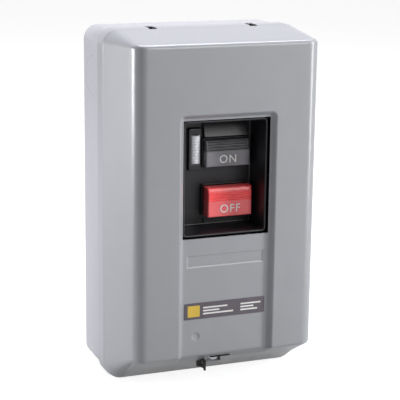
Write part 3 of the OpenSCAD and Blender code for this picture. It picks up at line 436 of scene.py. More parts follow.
# rim over the back box, which steps in by JOGGLE where the tapered walls begin
RIM_W, RIM_LOW, RIM_TOP, RIM_R = 149.4, -1.7, 251.7, 11.7
RIM_BACK, RIM_STEP, RIM_FRONT, JOGGLE = 39.8, 48.8, 55.9, 0.9
SHEET = 1.2
FRONT_W, FRONT_LOW, FRONT_TOP, DEPTH = 133.6, 25.4, 245.7, 102.0
SIDE_R, EDGE_R = 9.5, 3.0
SIDE_SLOPE = (RIM_W / 2 - JOGGLE - FRONT_W / 2) / (DEPTH - RIM_FRONT)
TOP_SLOPE = (RIM_TOP - JOGGLE - FRONT_TOP) / (DEPTH - RIM_FRONT)
LOW_SLOPE = (FRONT_LOW - RIM_LOW - JOGGLE) / (DEPTH - RIM_FRONT)
# points round the large bend beside the front, and round the small one above and below it
N_PHI, N_PSI = 14, 8
# channel in the front face, open at its lower end
CHANNEL_HALF, CHANNEL_DEEP, CHANNEL_TOP, CHANNEL_R = 33.9, 4.0, 196.2, 2.6
WALL_RUN, LIP_DROP = 4.6, 0.17
WINDOW_HALF, WINDOW_LOW, WINDOW_TOP = 32.2, 110.3, 193.4
# shallow formed outline above the label strip, and a small dimple under it
OUTLINE_HALF, OUTLINE_LOW, OUTLINE_TOP, OUTLINE_DEEP, OUTLINE_RUN = 28.5, 90, 98, 0.45, 0.9
DIMPLE_X, DIMPLE_H, DIMPLE_R, DIMPLE_DEEP, DIMPLE_RUN = -21.7, 39.3, 1.7, 0.55, 1.6
# pocket for the cover screw in the sloping underside
POCKET_X0, POCKET_X1, CHEEK_X = -10.2, 4.9, -1.4
POCKET_REAR, POCKET_FRONT, POCKET_TOP = 76.0, 94.0, 22.957
SCREW_H = 17.157
# two hooks at the top, and two black studs in slots of the rim, whose black is painted shade so
# the slots read as dark holes
HOOK_X, HOOK_SHIFT, HOOK_W, HOOK_REACH, HOOK_R = 38.0, 3.5, 4.5, 7.0, 0.9
HINGE_D, HOOK_LOW = 35.5, 246.95
STUD_X, STUD_D, STUD_HALF = 38.0, 41.4, 2.5


def inset(r, slope):
    """How far in from an edge a bend of radius r begins, where a wall of that slope meets it."""
    return r * (math.sqrt(1 + slope * slope) - slope)


CX = FRONT_W / 2 - inset(SIDE_R, SIDE_SLOPE)
H0 = FRONT_LOW + inset(EDGE_R, LOW_SLOPE)
H1 = FRONT_TOP - inset(EDGE_R, TOP_SLOPE)


def channel(x, h):
    """How far the front face is sunk at a point."""
    dx = abs(x) - (CHANNEL_HALF - CHANNEL_R)
    dh = h - (CHANNEL_TOP - CHANNEL_R)
    if dx > 0 and dh > 0:
        away = math.hypot(dx, dh) - CHANNEL_R
    else:
        away = max(dx, dh) - CHANNEL_R
    sunk = CHANNEL_DEEP * (1 - smoothstep(away / WALL_RUN + 0.5))
    edge = min(OUTLINE_HALF - abs(x), OUTLINE_TOP - h, h - OUTLINE_LOW)
    sunk += OUTLINE_DEEP * smoothstep(edge / OUTLINE_RUN + 0.5)
    away = math.hypot(x - DIMPLE_X, h - DIMPLE_H)
    sunk += DIMPLE_DEEP * (1 - smoothstep((away - DIMPLE_R) / DIMPLE_RUN))
    return sunk


def cover_rows():
    """Lines across x and up h on the front face, closer where its form changes."""
    wall = [31.6, 31.9, 32.2, 32.5, 32.8, 33.1, 33.4, 33.7, 34.0, 34.3, 34.6, 34.9, 35.2, 35.5,
            35.8, 36.2, 36.6]
    outline_x = [27.4, 27.9, 28.2, 28.5, 28.8, 29.1, 29.6]
    outline_h = [89.2, 89.5, 89.8, 90.1, 90.5, 91, 92.5, 94, 95.5, 97, 97.5, 97.9, 98.2, 98.5,
                 98.8, 99.4]
    dimple_x, dimple_h = spread(-26.0, -17.4, 16), spread(35, 43.6, 16)
    xs = merged(spread(-CX, -wall[-1], 9), [-w for w in wall], [-f for f in outline_x],
                dimple_x, spread(dimple_x[-1], 26, 22), outline_x, wall,
                spread(wall[-1], CX, 9), [POCKET_X0, POCKET_X1])
    hs = merged(spread(H0, dimple_h[0], 4), dimple_h, spread(dimple_h[-1], 88.6, 14), outline_h,
                spread(outline_h[-1], WINDOW_LOW, 4), spread(WINDOW_LOW, WINDOW_TOP, 24),
                [CHANNEL_TOP - 2.4 + 0.3 * k for k in range(17)],
                spread(CHANNEL_TOP + 2.6, H1, 14))
    return xs, hs


def rear_h(h):
    """Height on the rear ring of the line that has height h on the front face."""
    low, top = RIM_LOW + RIM_R, RIM_TOP - RIM_R
    return low + (h - H0) / (H1 - H0) * (top - low)


def slope_h(d):
    """Height of the sloping underside at a depth."""
    return RIM_LOW + JOGGLE + LOW_SLOPE * (d - RIM_FRONT)


PHI_END = math.pi / 2 - math.atan(SIDE_SLOPE)
PSI_LOW = math.pi / 2 - math.atan(LOW_SLOPE)
# depth lines of the flat walls, and the same as shares from the rear ring to the bend
POCKET_LINES = [POCKET_REAR, 82.0, 88.0, POCKET_FRONT]
LINES = [RIM_FRONT, 62.5, 69.2] + POCKET_LINES
LOW_BEND_D = DEPTH - EDGE_R + EDGE_R * math.cos(PSI_LOW)
SHARES = [(d - RIM_FRONT) / (LOW_BEND_D - RIM_FRONT) for d in LINES] + [1.0]


def front_face(p, xs, hs):
    def point(x, h):
        sunk = channel(x, h)
        if h <= H0 + 1e-6:
            h -= LIP_DROP * sunk
        return at(x, DEPTH - sunk, h)

    def outside_window(i, j):
        return not (abs(xs[j] + xs[j + 1]) / 2 < WINDOW_HALF
                    and WINDOW_LOW < (hs[i] + hs[i + 1]) / 2 < WINDOW_TOP)

    p.grid([[point(x, h) for x in xs] for h in hs], keep=outside_window)


def side_walls(p, hs):
    """Bends beside the front face and the flat sides behind them."""
    cd = DEPTH - SIDE_R
    for s in (-1, 1):
        p.grid([[at(s * (CX + SIDE_R * math.sin(f)), cd + SIDE_R * math.cos(f), h)
                 for f in spread(0, PHI_END, N_PHI)] for h in hs])
        rows = []
        for h in hs:
            a = at(s * (RIM_W / 2 - JOGGLE), RIM_FRONT, rear_h(h))
            b = at(s * (CX + SIDE_R * math.sin(PHI_END)), cd + SIDE_R * math.cos(PHI_END), h)
            rows.append([a.lerp(b, g) for g in SHARES])
        p.grid(rows)


def end_wall(p, xs, s):
    """Top (s is 1) or sloping underside (s is -1), with its bend and its two corners."""
    psi_end = math.pi / 2 - math.atan(TOP_SLOPE) if s > 0 else PSI_LOW
    hc = H1 if s > 0 else H0
    cd, major = DEPTH - SIDE_R, SIDE_R - EDGE_R
    first = LINES.index(POCKET_REAR)

    def bend(x, q):
        """Point on the bend, which follows the channel's floor on the underside."""
        sunk = channel(x, hc) if s < 0 else 0.0
        return at(x, DEPTH - sunk - EDGE_R + EDGE_R * math.cos(q),
                  hc - LIP_DROP * sunk + s * EDGE_R * math.sin(q))

    def corner(t, f, q):
        reach = major + EDGE_R * math.cos(q)
        return at(t * (CX + reach * math.sin(f)), cd + reach * math.cos(f),
                  hc + s * EDGE_R * math.sin(q))

    def outside_pocket(i, j):
        return not (POCKET_X0 < (xs[i] + xs[i + 1]) / 2 < POCKET_X1
                    and first <= j < first + len(POCKET_LINES) - 1)

    p.grid([[bend(x, q) for q in spread(0, psi_end, N_PSI)] for x in xs])
    if s > 0:
        p.grid([[at(x, RIM_FRONT, RIM_TOP - JOGGLE).lerp(bend(x, psi_end), g) for g in SHARES]
                for x in xs])
    else:
        p.grid([[at(x, d, slope_h(d)) for d in LINES] + [bend(x, psi_end)] for x in xs],
               keep=outside_pocket)
    for t in (-1, 1):
        # corner of the front face
        p.grid([[corner(t, f, q) for q in spread(0, psi_end, N_PSI)]
                for f in spread(0, PHI_END, N_PHI)])
        # corner between two flat walls
        edge = [corner(t, PHI_END, q) for q in spread(0, psi_end, N_PSI)]
        edge += [corner(t, f, psi_end) for f in spread(PHI_END, 0, N_PHI)[1:]]
        ring = rear_corner(t, s, RIM_FRONT, JOGGLE)
        p.grid([[a.lerp(b, g) for g in SHARES] for a, b in zip(ring, edge)])


def rim(p, xs, hs):
    """Straight rim and the step in front of it, as stations of (depth, step in)."""
    n, run = 12, RIM_FRONT + 0.5 - RIM_STEP
    stations = [(RIM_BACK, 0.0), (RIM_BACK + 5, 0.0), (48.2, 0.0)]
    stations += [(RIM_STEP + run * k / n, JOGGLE * smoothstep(k / n)) for k in range(n)]
    stations.append((RIM_FRONT, JOGGLE))
    for pair in zip(stations, stations[1:]):
        for s in (-1, 1):
            p.grid([[at(s * (RIM_W / 2 - o), d, rear_h(h)) for d, o in pair] for h in hs])
            p.grid([[at(x, d, RIM_TOP - o if s > 0 else RIM_LOW + o) for d, o in pair]
                    for x in xs])
            for t in (-1, 1):
                p.grid(list(zip(*(rear_corner(t, s, d, o) for d, o in pair))))


def pocket(p, xs):
    """Screw pocket: rear wall, front wall, roof and two cheeks."""
    lane = [x for x in xs if POCKET_X0 - 0.01 <= x <= POCKET_X1 + 0.01]
    ups = [0, 0.25, 0.5, 0.75, 1]

    def point(x, d, k):
        return at(x, d, slope_h(d) + (POCKET_TOP - slope_h(d)) * k)

    for d in (POCKET_REAR, POCKET_FRONT):
        p.grid([[point(x, d, k) for k in ups] for x in lane])
    p.grid([[at(x, d, POCKET_TOP) for d in POCKET_LINES] for x in lane])
    for x in (POCKET_X0, POCKET_X1):
        p.grid([[point(x, d, k) for k in ups] for d in POCKET_LINES])


def cover_mesh():
    xs, hs = cover_rows()
    p = Patches()
    front_face(p, xs, hs)
    side_walls(p, hs)
    for s in (1, -1):
        end_wall(p, xs, s)
    rim(p, xs, hs)
    pocket(p, xs)
    return p.mesh("cover_sheet")


def rear_corner(t, s, d, off):
    """Corner of the ring at a depth, from the side round to the top or bottom."""
    r = RIM_R - off
    cx = RIM_W / 2 - RIM_R
    ch = RIM_TOP - RIM_R if s > 0 else RIM_LOW + RIM_R
    pts = [at(t * (cx + r * math.cos(w)), d, ch + s * r * math.sin(w))
           for w in spread(0, math.pi / 2, N_PSI)]
    for f in spread(math.pi / 2, 0, N_PHI)[1:]:
        pts.append(at(t * (CX + (cx - CX) * math.sin(f)), d, ch + s * r))
    return pts


def make_cover():
    mesh = cover_mesh()
    cover = place("cover_shell", mesh, "cover", "paint", ("cover",), 40)
    solid = cover.modifiers.new("sheet", "SOLIDIFY")
    solid.thickness = SHEET * MM
    solid.offset = -1
    solid.use_even_offset = True
    apply_modifiers(cover)
    # hole for the cover screw in the pocket's rear wall, and two slots in the top of the rim
    hole = Patches()
    hole.lathe(0, SCREW_H, [(72, 2.4), (77, 2.4)], 24)
    for x in (-STUD_X, STUD_X):
        hole.slab(x - STUD_HALF - 0.3, x + STUD_HALF + 0.3, STUD_D - 0.4, 53.5, 249, 253)
    cut_out(cover, hole.mesh("tool"))
    shade(cover.data, 40)
    # slanting cheek beside the screw, which closes the right side of the pocket
    cheek = Patches()
    side, front = POCKET_X1 + 0.3, POCKET_FRONT + 0.5
    outline = ((side, 79.6), (side, front), (CHEEK_X, front))
    cheek.loft([[at(x, d, slope_h(d) - 0.02) for x, d in outline],
                [at(x, d, POCKET_TOP + 0.6) for x, d in outline]])
    place("screw_pocket_cheek", cheek.mesh("cheek"), "cover", "paint")


def make_studs():
    """Black studs on the back box, in the two slots of the cover's rim; their black is painted
    shade, so the slots read as dark holes.
    """
    for side, x in (("left", -STUD_X), ("right", STUD_X)):
        stud = Patches()
        stud.loft([loop(STUD_HALF - o, BOX_H - 0.05, BOX_H + 1.5 - o, 0.3, STUD_D + d, x, 3)
                   for d, o in ((0, 0.2), (0.2, 0), (1.8, 0), (2, 0.2))])
        place("rim_stud_" + side, stud.mesh("stud"), BODY["back_box"], "oxide")


def make_hooks():
    """Two hooks that carry the cover in the top of the back box."""
    over, under = RIM_TOP - SHEET / 2, HOOK_LOW + SHEET / 2
    quarter = (0, 0.4, 0.8, 1.2, math.pi / 2)
    path = [(RIM_BACK + 0.4, over)]
    path += [(HINGE_D + HOOK_R - HOOK_R * math.sin(a), over - HOOK_R + HOOK_R * math.cos(a))
             for a in quarter]
    path += [(HINGE_D - HOOK_R + HOOK_R * math.cos(a), under + HOOK_R - HOOK_R * math.sin(a))
             for a in quarter]
    path.append((HINGE_D - HOOK_REACH, under))
    for side, x in (("left", HOOK_SHIFT - HOOK_X), ("right", HOOK_SHIFT + HOOK_X)):
        rings = []
        for i, (d, h) in enumerate(path):
            d0, h0 = path[max(i - 1, 0)]
            d1, h1 = path[min(i + 1, len(path) - 1)]
            run = math.hypot(d1 - d0, h1 - h0)
            nd, nh = (h1 - h0) / run * SHEET / 2, -(d1 - d0) / run * SHEET / 2
            rings.append([at(x + s * HOOK_W / 2, d + t * nd, h + t * nh)
                          for s, t in ((-1, -1), (1, -1), (1, 1), (-1, 1))])
        hook = Patches()
        hook.loft(rings)
        bevelled(place("cover_hook_" + side, hook.mesh("hook"), "cover", "paint"), 0.2, 2)


make_cover()
make_studs()
make_hooks()

# ---------------------------------------------------------------- back box

BOX_D, BOX_T, CORNER, BACK_R = 48.0, 1.5, 10.0, 2.4
# holes in the back: for the wall screws, the mounting plate's screws and the ground screw
WALL_HOLE_X, WALL_HOLES_H, WALL_HOLE_R = 50, (25, 225), 2.75
PLATE_HOLE_X, PLATE_HOLES_H, SCREW_HOLE_R = 38, (44, 210), 2.05
GROUND_X, GROUND_H = 56, 32
# knockouts: two each in the bottom and the top, and one in each side
END_KNOCK_X, END_KNOCK_D, END_KNOCK_R = 30, 19, 10.88
SIDE_KNOCK_D, SIDE_KNOCK_H, SIDE_KNOCK_R = 21.5, 216, 13.88


def box_ring(inward, d):
    """Outline of the back box at a depth, moved inward."""
    return loop(BOX_W / 2 - inward, inward, BOX_H - inward, max(CORNER - inward, 1), d)


def make_box():
    inner_r = BACK_R - BOX_T
    quarter = spread(0, math.pi / 2, 6)
    rings = [box_ring(BACK_R * (1 - math.sin(a)), BACK_R * (1 - math.cos(a))) for a in quarter]
    rings += [box_ring(0, BOX_D - 0.35), box_ring(0.1, BOX_D - 0.1), box_ring(0.35, BOX_D),
              box_ring(BOX_T - 0.35, BOX_D), box_ring(BOX_T - 0.1, BOX_D - 0.1),
              box_ring(BOX_T, BOX_D - 0.35)]
    rings += [box_ring(BACK_R - inner_r * math.cos(a), BACK_R - inner_r * math.sin(a))
              for a in quarter]
    shell = Patches()
    shell.loft(rings)
    box = place("back_box_shell", shell.mesh("shell"), BODY["back_box"], "box_paint",
                ("back_box",))
    holes = Patches()
    for x in (-WALL_HOLE_X, WALL_HOLE_X):
        for h in WALL_HOLES_H:
            holes.lathe(x, h, [(-1, WALL_HOLE_R), (3, WALL_HOLE_R)], 28)
    for x in (-PLATE_HOLE_X, PLATE_HOLE_X):
        for h in PLATE_HOLES_H:
            holes.lathe(x, h, [(-1, SCREW_HOLE_R), (3, SCREW_HOLE_R)], 20)
    holes.lathe(GROUND_X, GROUND_H, [(-1, SCREW_HOLE_R), (3, SCREW_HOLE_R)], 20)
    for x in (HOOK_SHIFT - HOOK_X, HOOK_SHIFT + HOOK_X):
        holes.slab(x - 3, x + 3, 31.5, 38.8, 248, 252)
    turn = [2 * math.pi * k / 56 for k in range(56)]
    for x in (-END_KNOCK_X, END_KNOCK_X):
        for ends in ((-2, 3), (247, 252)):
            holes.loft([[at(x + END_KNOCK_R * math.cos(a), END_KNOCK_D + END_KNOCK_R * math.sin(a),
                            h) for a in turn] for h in ends])
    for ends in ((-75, -70), (70, 75)):
        holes.loft([[at(x, SIDE_KNOCK_D + SIDE_KNOCK_R * math.cos(a),
                        SIDE_KNOCK_H + SIDE_KNOCK_R * math.sin(a)) for a in turn] for x in ends])
    cut_out(box, holes.mesh("tool"))


make_box()

# ---------------------------------------------------------------- operator

# moulding behind the window, and the well that stands on it round the buttons
MOULDING_HALF, MOULDING_LOW, MOULDING_TOP = 43, 103.0, 199.0
WELL_D, FLOOR_T, WELL_FRONT, WELL_T = 70.0, 2.5, 96.0, 1.8
WELL_HALF, WELL_LOW, WELL_TOP = 31.6, 110.9, 192.8
PIT_X0, PIT_X1, PIT_H, PIT_DEEP = -13, -5.5, 5, 1.5
BUTTON_X, BUTTON_HALF = 9.2, 16.7
START_H, START_LOW, START_TOP, START_FACE, START_REAR = 164.5, 155.6, 174.8, 78.0, 73.2
STOP_H, STOP_LOW, STOP_TOP, STOP_FACE, STOP_REAR = 131.2, 120.6, 141.8, 83.0, 74.2
LENS_X, LENS_HALF, LENS_LOW, LENS_TOP = -13.4, 3.25, 158.2, 178.2
FRAME_X, FRAME_HALF, FRAME_LOW, FRAME_TOP, FRAME_DEEP = -13.85, 4.8, 153.2, 183.2, 3
HOOD_DEEP, HOOD_GAP = 5, 1.8


def rim_ring(p, cx, half, h0, h1, r, wall, d0, d1, foot=0.0):
    """Upstanding wall round a rounded rectangle, with a round lip and a filleted foot."""
    lip = wall / 2
    arc = spread(0, math.pi, 8)

    def ring(out, d):
        return loop(half + out, h0 - out, h1 + out, r + out, d, cx)

    rings = [ring(wall + foot, d0 - 0.1)]
    if foot:
        rings += [ring(wall + foot - foot * math.sin(a), d0 + foot - foot * math.cos(a))
                  for a in spread(0, math.pi / 2, 4)]
    rings += [ring(lip + lip * math.cos(a), d1 - lip + lip * math.sin(a)) for a in arc]
    if foot:
        rings += [ring(foot * math.sin(a) - foot, d0 + foot - foot * math.cos(a))
                  for a in spread(math.pi / 2, 0, 4)]
    rings.append(ring(-foot, d0 - 0.1))
    p.loft(rings, closed=True)


def make_housing():
    p = Patches()
    p.loft([loop(MOULDING_HALF - o, MOULDING_LOW + o, MOULDING_TOP - o, 4, d)
            for d, o in ((WELL_D - FLOOR_T, 0.3), (WELL_D - FLOOR_T + 0.3, 0),
                         (WELL_D - 0.3, 0), (WELL_D, 0.3))])
    floor = place("operator_moulding", p.mesh("floor"), BODY["operator_housing"], "black",
                  ("operator_housing",))
    holes = Patches()
    pit_low = WELL_LOW + WELL_T
    holes.slab(PIT_X0, PIT_X1, WELL_D - PIT_DEEP, WELL_D + 1, pit_low, pit_low + PIT_H)
    holes.slab(LENS_X - LENS_HALF, LENS_X + LENS_HALF, WELL_D - 5, WELL_D + 1,
               LENS_LOW, LENS_TOP)
    for h in (START_H, STOP_H):
        holes.lathe(BUTTON_X, h, [(WELL_D - 5, 2.9), (WELL_D + 1, 2.9)], 24)
    cut_out(floor, holes.mesh("tool"))
    q = Patches()
    rim_ring(q, 0, WELL_HALF - WELL_T, WELL_LOW + WELL_T, WELL_TOP - WELL_T, 1.2, WELL_T,
             WELL_D, WELL_FRONT, 0.9)
    for h0, h1 in ((START_LOW, START_TOP), (STOP_LOW, STOP_TOP)):
        rim_ring(q, BUTTON_X, BUTTON_HALF + 0.4, h0 - 0.4, h1 + 0.4, 1.3, 0.8,
                 WELL_D, WELL_D + 3.5)

    # raised frame round the pilot light
    def frame_ring(inward, rise):
        return loop(FRAME_HALF - inward, FRAME_LOW + inward, FRAME_TOP - inward, 1.0,
                    WELL_D + rise, FRAME_X)

    def lens_ring(out, rise):
        return loop(LENS_HALF + out, LENS_LOW - out, LENS_TOP + out, 0.3 + out,
                    WELL_D + rise, LENS_X)

    q.loft([frame_ring(-0.5, -0.1), frame_ring(0, 0.4), frame_ring(0.1, FRAME_DEEP - 0.6),
            frame_ring(0.35, FRAME_DEEP - 0.15), frame_ring(0.8, FRAME_DEEP),
            lens_ring(0.55, FRAME_DEEP), lens_ring(0.15, FRAME_DEEP - 0.2),
            lens_ring(0.02, FRAME_DEEP - 0.7), lens_ring(0.02, -0.1)], closed=True)
    # hood above the start button, thickest at its foot
    x0, x1 = BUTTON_X - BUTTON_HALF, BUTTON_X + BUTTON_HALF
    foot, head, front = START_TOP + HOOD_GAP, WELL_TOP - WELL_T + 0.1, WELL_D + HOOD_DEEP
    q.loft([[at(x, WELL_D - 0.1, foot + o), at(x, front - 0.5 - o, foot + o),
             at(x, front - o, foot + 0.5 + o), at(x, WELL_D + 0.3, head),
             at(x, WELL_D - 0.1, head)]
            for x, o in ((x0, 0.7), (x0 + 0.25, 0.25), (x0 + 0.8, 0), (x1 - 0.8, 0),
                         (x1 - 0.25, 0.25), (x1, 0.7))])
    place("operator_well", q.mesh("walls"), BODY["operator_housing"], "black")


make_housing()


def height_field(p, xs, hs, front, rear):
    """Block whose front follows front(x, h) and whose sides run back to a depth."""
    p.grid([[at(x, front(x, h), h) for x in xs] for h in hs])
    for h in (hs[0], hs[-1]):
        p.grid([[at(x, d, h) for x in xs] for d in (rear, front(xs[0], h))])
    for x in (xs[0], xs[-1]):
        p.grid([[at(x, d, h) for h in hs] for d in (rear, front(x, hs[0]))])
    p.grid([[at(x, rear, h) for x in (xs[0], xs[-1])] for h in (hs[0], hs[-1])])


def edge_drop(gap, r):
    """How far a rounded edge falls away, at a distance from the side."""
    return r - math.sqrt(max(r * r - max(r - gap, 0) ** 2, 0))


def make_button(name, h, low, top, face, rear, grooves, tilt_from, tilt, material):
    """Push button with rounded edges, grooves across it and a face that leans back above.

    h is its middle, low and top its edges, face and rear its depths; above tilt_from the face
    leans back, by tilt at the top.
    """
    x0, x1 = BUTTON_X - BUTTON_HALF, BUTTON_X + BUTTON_HALF
    r, lane, deep = 1.1, 0.55, 0.75  # rounding, and a groove's half width and depth

    def front(x, z):
        d = face - tilt * max(0.0, (z - tilt_from) / (top - tilt_from)) ** 1.2
        side = min(x - x0, x1 - x)
        d -= edge_drop(min(side, z - low, top - z), r)
        inside = smoothstep((side - 1.6) / 0.5)
        for g in grooves:
            d -= deep * inside * (1 - smoothstep(abs(z - g) / lane - 0.25))
        return d

    rim = [0, 0.03, 0.1, 0.22, 0.4, 0.62, 0.85, 1.1, 1.4, 1.7, 2.0, 2.3]
    xs = merged([x0 + v for v in rim], spread(x0 + 2.3, x1 - 2.3, 12), [x1 - v for v in rim])
    fine = [g + k * 0.11 for g in grooves for k in range(-7, 8)]
    hs = merged([low + v for v in rim], spread(low + 2.3, top - 2.3, 10), fine,
                [top - v for v in rim])
    hs = [z for z in hs if low <= z <= top]
    xs[-1], hs[-1] = x1, top
    p = Patches()
    height_field(p, xs, hs, front, rear)
    p.lathe(BUTTON_X, h, [(60.5, 2.2), (60.8, 2.5), (rear + 0.5, 2.5)], 28)
    place(name + "_cap", p.mesh(name), BODY[name], material, (name,), 30)


make_button("start_button", START_H, START_LOW, START_TOP, START_FACE, START_REAR,
            grooves=[167.9, 169.8, 171.7, 173.4], tilt_from=166.5, tilt=1.9,
            material="charcoal")
make_button("stop_button", STOP_H, STOP_LOW, STOP_TOP, STOP_FACE, STOP_REAR,
            grooves=[133.0, 134.9, 136.8], tilt_from=138.2, tilt=1.2, material="red")


def make_lens():
    x0, x1 = LENS_X - LENS_HALF, LENS_X + LENS_HALF
    bulge, rib, pitch = 1.35, 0.12, 2.0

    def front(x, z):
        across = (x - LENS_X) / LENS_HALF
        ribs = rib * math.cos(2 * math.pi * (z - LENS_LOW) / pitch)
        edge = min(x - x0, x1 - x, z - LENS_LOW, LENS_TOP - z)
        return WELL_D + 3.0 + bulge * (1 - across * across) + ribs - edge_drop(edge, 0.5)

    p = Patches()
    height_field(p, spread(x0, x1, 22), spread(LENS_LOW, LENS_TOP, 100), front,
                 WELL_D - FLOOR_T)
    place("pilot_lens_cap", p.mesh("lens"), BODY["pilot_lens"], "lens",
          ("pilot_lens",), 40)


make_lens()


def word(name, text, x, d, h, size, body):
    """Short raised marking that faces forward."""
    data = bpy.data.curves.new(name, "FONT")
    data.body = text
    data.size = size * MM
    data.extrude = 0.12 * MM
    data.bevel_depth = 0.03 * MM
    data.align_x = "CENTER"
    data.align_y = "CENTER"
    data.space_character = 1.15
    data.materials.append(MAT["marking"])
    obj = bpy.data.objects.new(name, data)
    bpy.context.scene.collection.objects.link(obj)
    obj.location = at(x, d, h)
    obj.rotation_euler = (math.pi / 2, 0, 0)
    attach(obj, body)


word("start_marking", "ON", BUTTON_X, START_FACE + 0.05, 160.9, 8.0, BODY["start_button"])
word("stop_marking", "OFF", BUTTON_X, STOP_FACE + 0.05, 126.2, 8.2, BODY["stop_button"])

# ---------------------------------------------------------------- cover fittings


def make_label():
    """Plain strip with a yellow block and six bare bars, on the channel's floor."""
    d = DEPTH - CHANNEL_DEEP
    low, top, half, corner = 52.2, 64.0, 30.5, 0.9
    p = Patches()
    p.loft([loop(half - o, low + o, top - o, corner, z)
            for z, o in ((d, 0), (d + 0.3, 0), (d + 0.38, 0.04), (d + 0.4, 0.12))])
    place("label_film_strip", p.mesh("label"), BODY["label_strip"], "label",
          ("label_strip",))

    def bar(q, x0, x1, h0, h1):
        q.loft([loop((x1 - x0) / 2, h0, h1, 0.25, z, (x0 + x1) / 2, 3)
                for z in (d + 0.38, d + 0.43)])

    q = Patches()
    bar(q, -28.0, -19.0, 54.0, 62.2)
    place("label_block_yellow", q.mesh("block"), BODY["label_strip"], "yellow")
    q = Patches()
    for x0, x1, h in ((-16.5, 2.0, 59.6), (-16.5, -4.0, 57.4), (-16.5, 6.5, 55.2),
                      (12.0, 27.5, 59.6), (12.0, 22.0, 57.4), (12.0, 25.0, 55.2)):
        bar(q, x0, x1, h, h + 1.1)
    place("label_bars_white", q.mesh("bars"), BODY["label_strip"], "marking")


make_label()


def make_cover_screw():
    shank_r, head_r, head_rear, head_front, dome = 2.0, 4.2, POCKET_REAR, 78.2, 1.2
    profile = [(67.0, shank_r - 0.3), (67.4, shank_r), (head_rear, shank_r),
               (head_rear, head_r - 0.2), (head_rear + 0.15, head_r), (head_front, head_r)]
    profile += [(head_front + dome * math.sin(a), head_r - dome + dome * math.cos(a))
                for a in spread(0.3, math.pi / 2, 5)]
    p = Patches()
    p.lathe(0, SCREW_H, profile, 40)
    screw = place("cover_screw_head", p.mesh("screw"), BODY["cover_screw"], "zinc",
                  ("cover_screw",))
    slot = Patches()
    slot.slab(-6, 6, 78.1, 81, SCREW_H - 0.6, SCREW_H + 0.6)
    cut_out(screw, slot.mesh("tool"))


make_cover_screw()

# ---------------------------------------------------------------- springs

def make_spring(name, places, d0, d1, mean, wire, turns, joint=None):
    """Coil springs of round wire with closed end turns, from depth d0 to d1.

    mean is the coil's mean radius and wire the wire's. With a joint the spring gets a mesh of its
    own.
    """
    steps, sides = 28, 8
    n = int(turns * steps)
    p = Patches()
    for x, h in places:
        rings = []
        for i in range(n + 1):
            share = i / n
            run = smoothstep(min(1, max(0, (share * turns - 0.5) / (turns - 1)))) * 0.25 \
                + 0.75 * min(1, max(0, (share * turns - 0.7) / (turns - 1.4)))
            d = d0 + wire + (d1 - d0 - 2 * wire) * run
            a = 2 * math.pi * i / steps
            ring = []
            for k in range(sides):
                b = 2 * math.pi * k / sides
                q = mean + wire * math.cos(b)
                ring.append(at(x + q * math.cos(a), d + wire * math.sin(b), h + q * math.sin(a)))
            rings.append(ring)
        p.loft(rings)
    obj = place(name + "_coil", p.mesh(name), BODY[name], "wire", (name,), 60)
    if joint:
        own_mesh(obj)


make_spring("start_spring", [(BUTTON_X, START_H)], 52.0, 60.5, mean=2.0, wire=0.35, turns=5,
            joint="start_push")
make_spring("stop_spring", [(BUTTON_X, STOP_H)], 52.0, 60.5, mean=2.0, wire=0.35, turns=5,
            joint="stop_push")
make_spring("reset_spring", [(24, 100)], 45.0, 52.9, mean=2.8, wire=0.3, turns=5,
            joint="reset_push")
make_spring("contact_springs", [(16 * k, 180) for k in (-1.5, -0.5, 0.5, 1.5)], 20.9, 30.0,
            mean=1.6, wire=0.3, turns=5)
make_spring("kickout_springs", [(s * 21.5, 128) for s in (-1, 1)], 16.0, 42.5, mean=3.0,
            wire=0.4, turns=8, joint="armature_pull")

# ---------------------------------------------------------------- softened mouldings and metal

for node, width in (
        ("seal_lug", 0.25), ("knockout_discs", 0.1), ("closing_bracket", 0.45),
        ("mounting_plate", 0.3), ("plate_screws", 0.35), ("ground_screw", 0.4),
        ("screw_retainer", 0.15), ("operator_pillars", 0.3), ("operator_screws", 0.35),
        ("start_contact_block", 0.4), ("stop_contact_block", 0.4), ("lamp_holder", 0.3),
        ("pilot_lamp", 0.3), ("reset_arm", 0.25), ("contactor_base", 0.35),
        ("magnet_core", 0.2), ("core_rivets", 0.2), ("coil_bobbin", 0.25),
        ("coil_winding", 0.9), ("coil_terminals", 0.15), ("armature", 0.2),
        ("armature_pin", 0.3), ("contact_carrier", 0.4), ("moving_contacts", 0.2),
        ("line_contacts", 0.2), ("load_contacts", 0.2), ("holding_contact", 0.2),
        ("contactor_screws", 0.35), ("arc_cover", 0.3), ("overload_base", 0.45),
        ("heater_elements", 0.2), ("heater_screws", 0.3), ("reset_pin", 0.3),
        ("trip_terminals", 0.2), ("load_terminals", 0.2), ("load_screws", 0.35),
        ("start_contact_bar", 0.15), ("stop_contact_bar", 0.15),
        ("start_fixed_contacts", 0.15), ("stop_fixed_contacts", 0.15),
        ("block_terminal_screws", 0.2), ("shading_rings", 0.15)):
    soften(node, width)


# ---------------------------------------------------------------- camera, floor and light

# the photo's camera, solved from the straight edges of the box
YAW, PITCH, ROLL = math.radians(21.68), math.radians(13.38), math.radians(0.69)
AIM = Vector((-4.53, -60.0, 3.25)) * MM
RANGE = 989.05 * MM
LENS_MM, SENSOR_MM = 123.96, 36


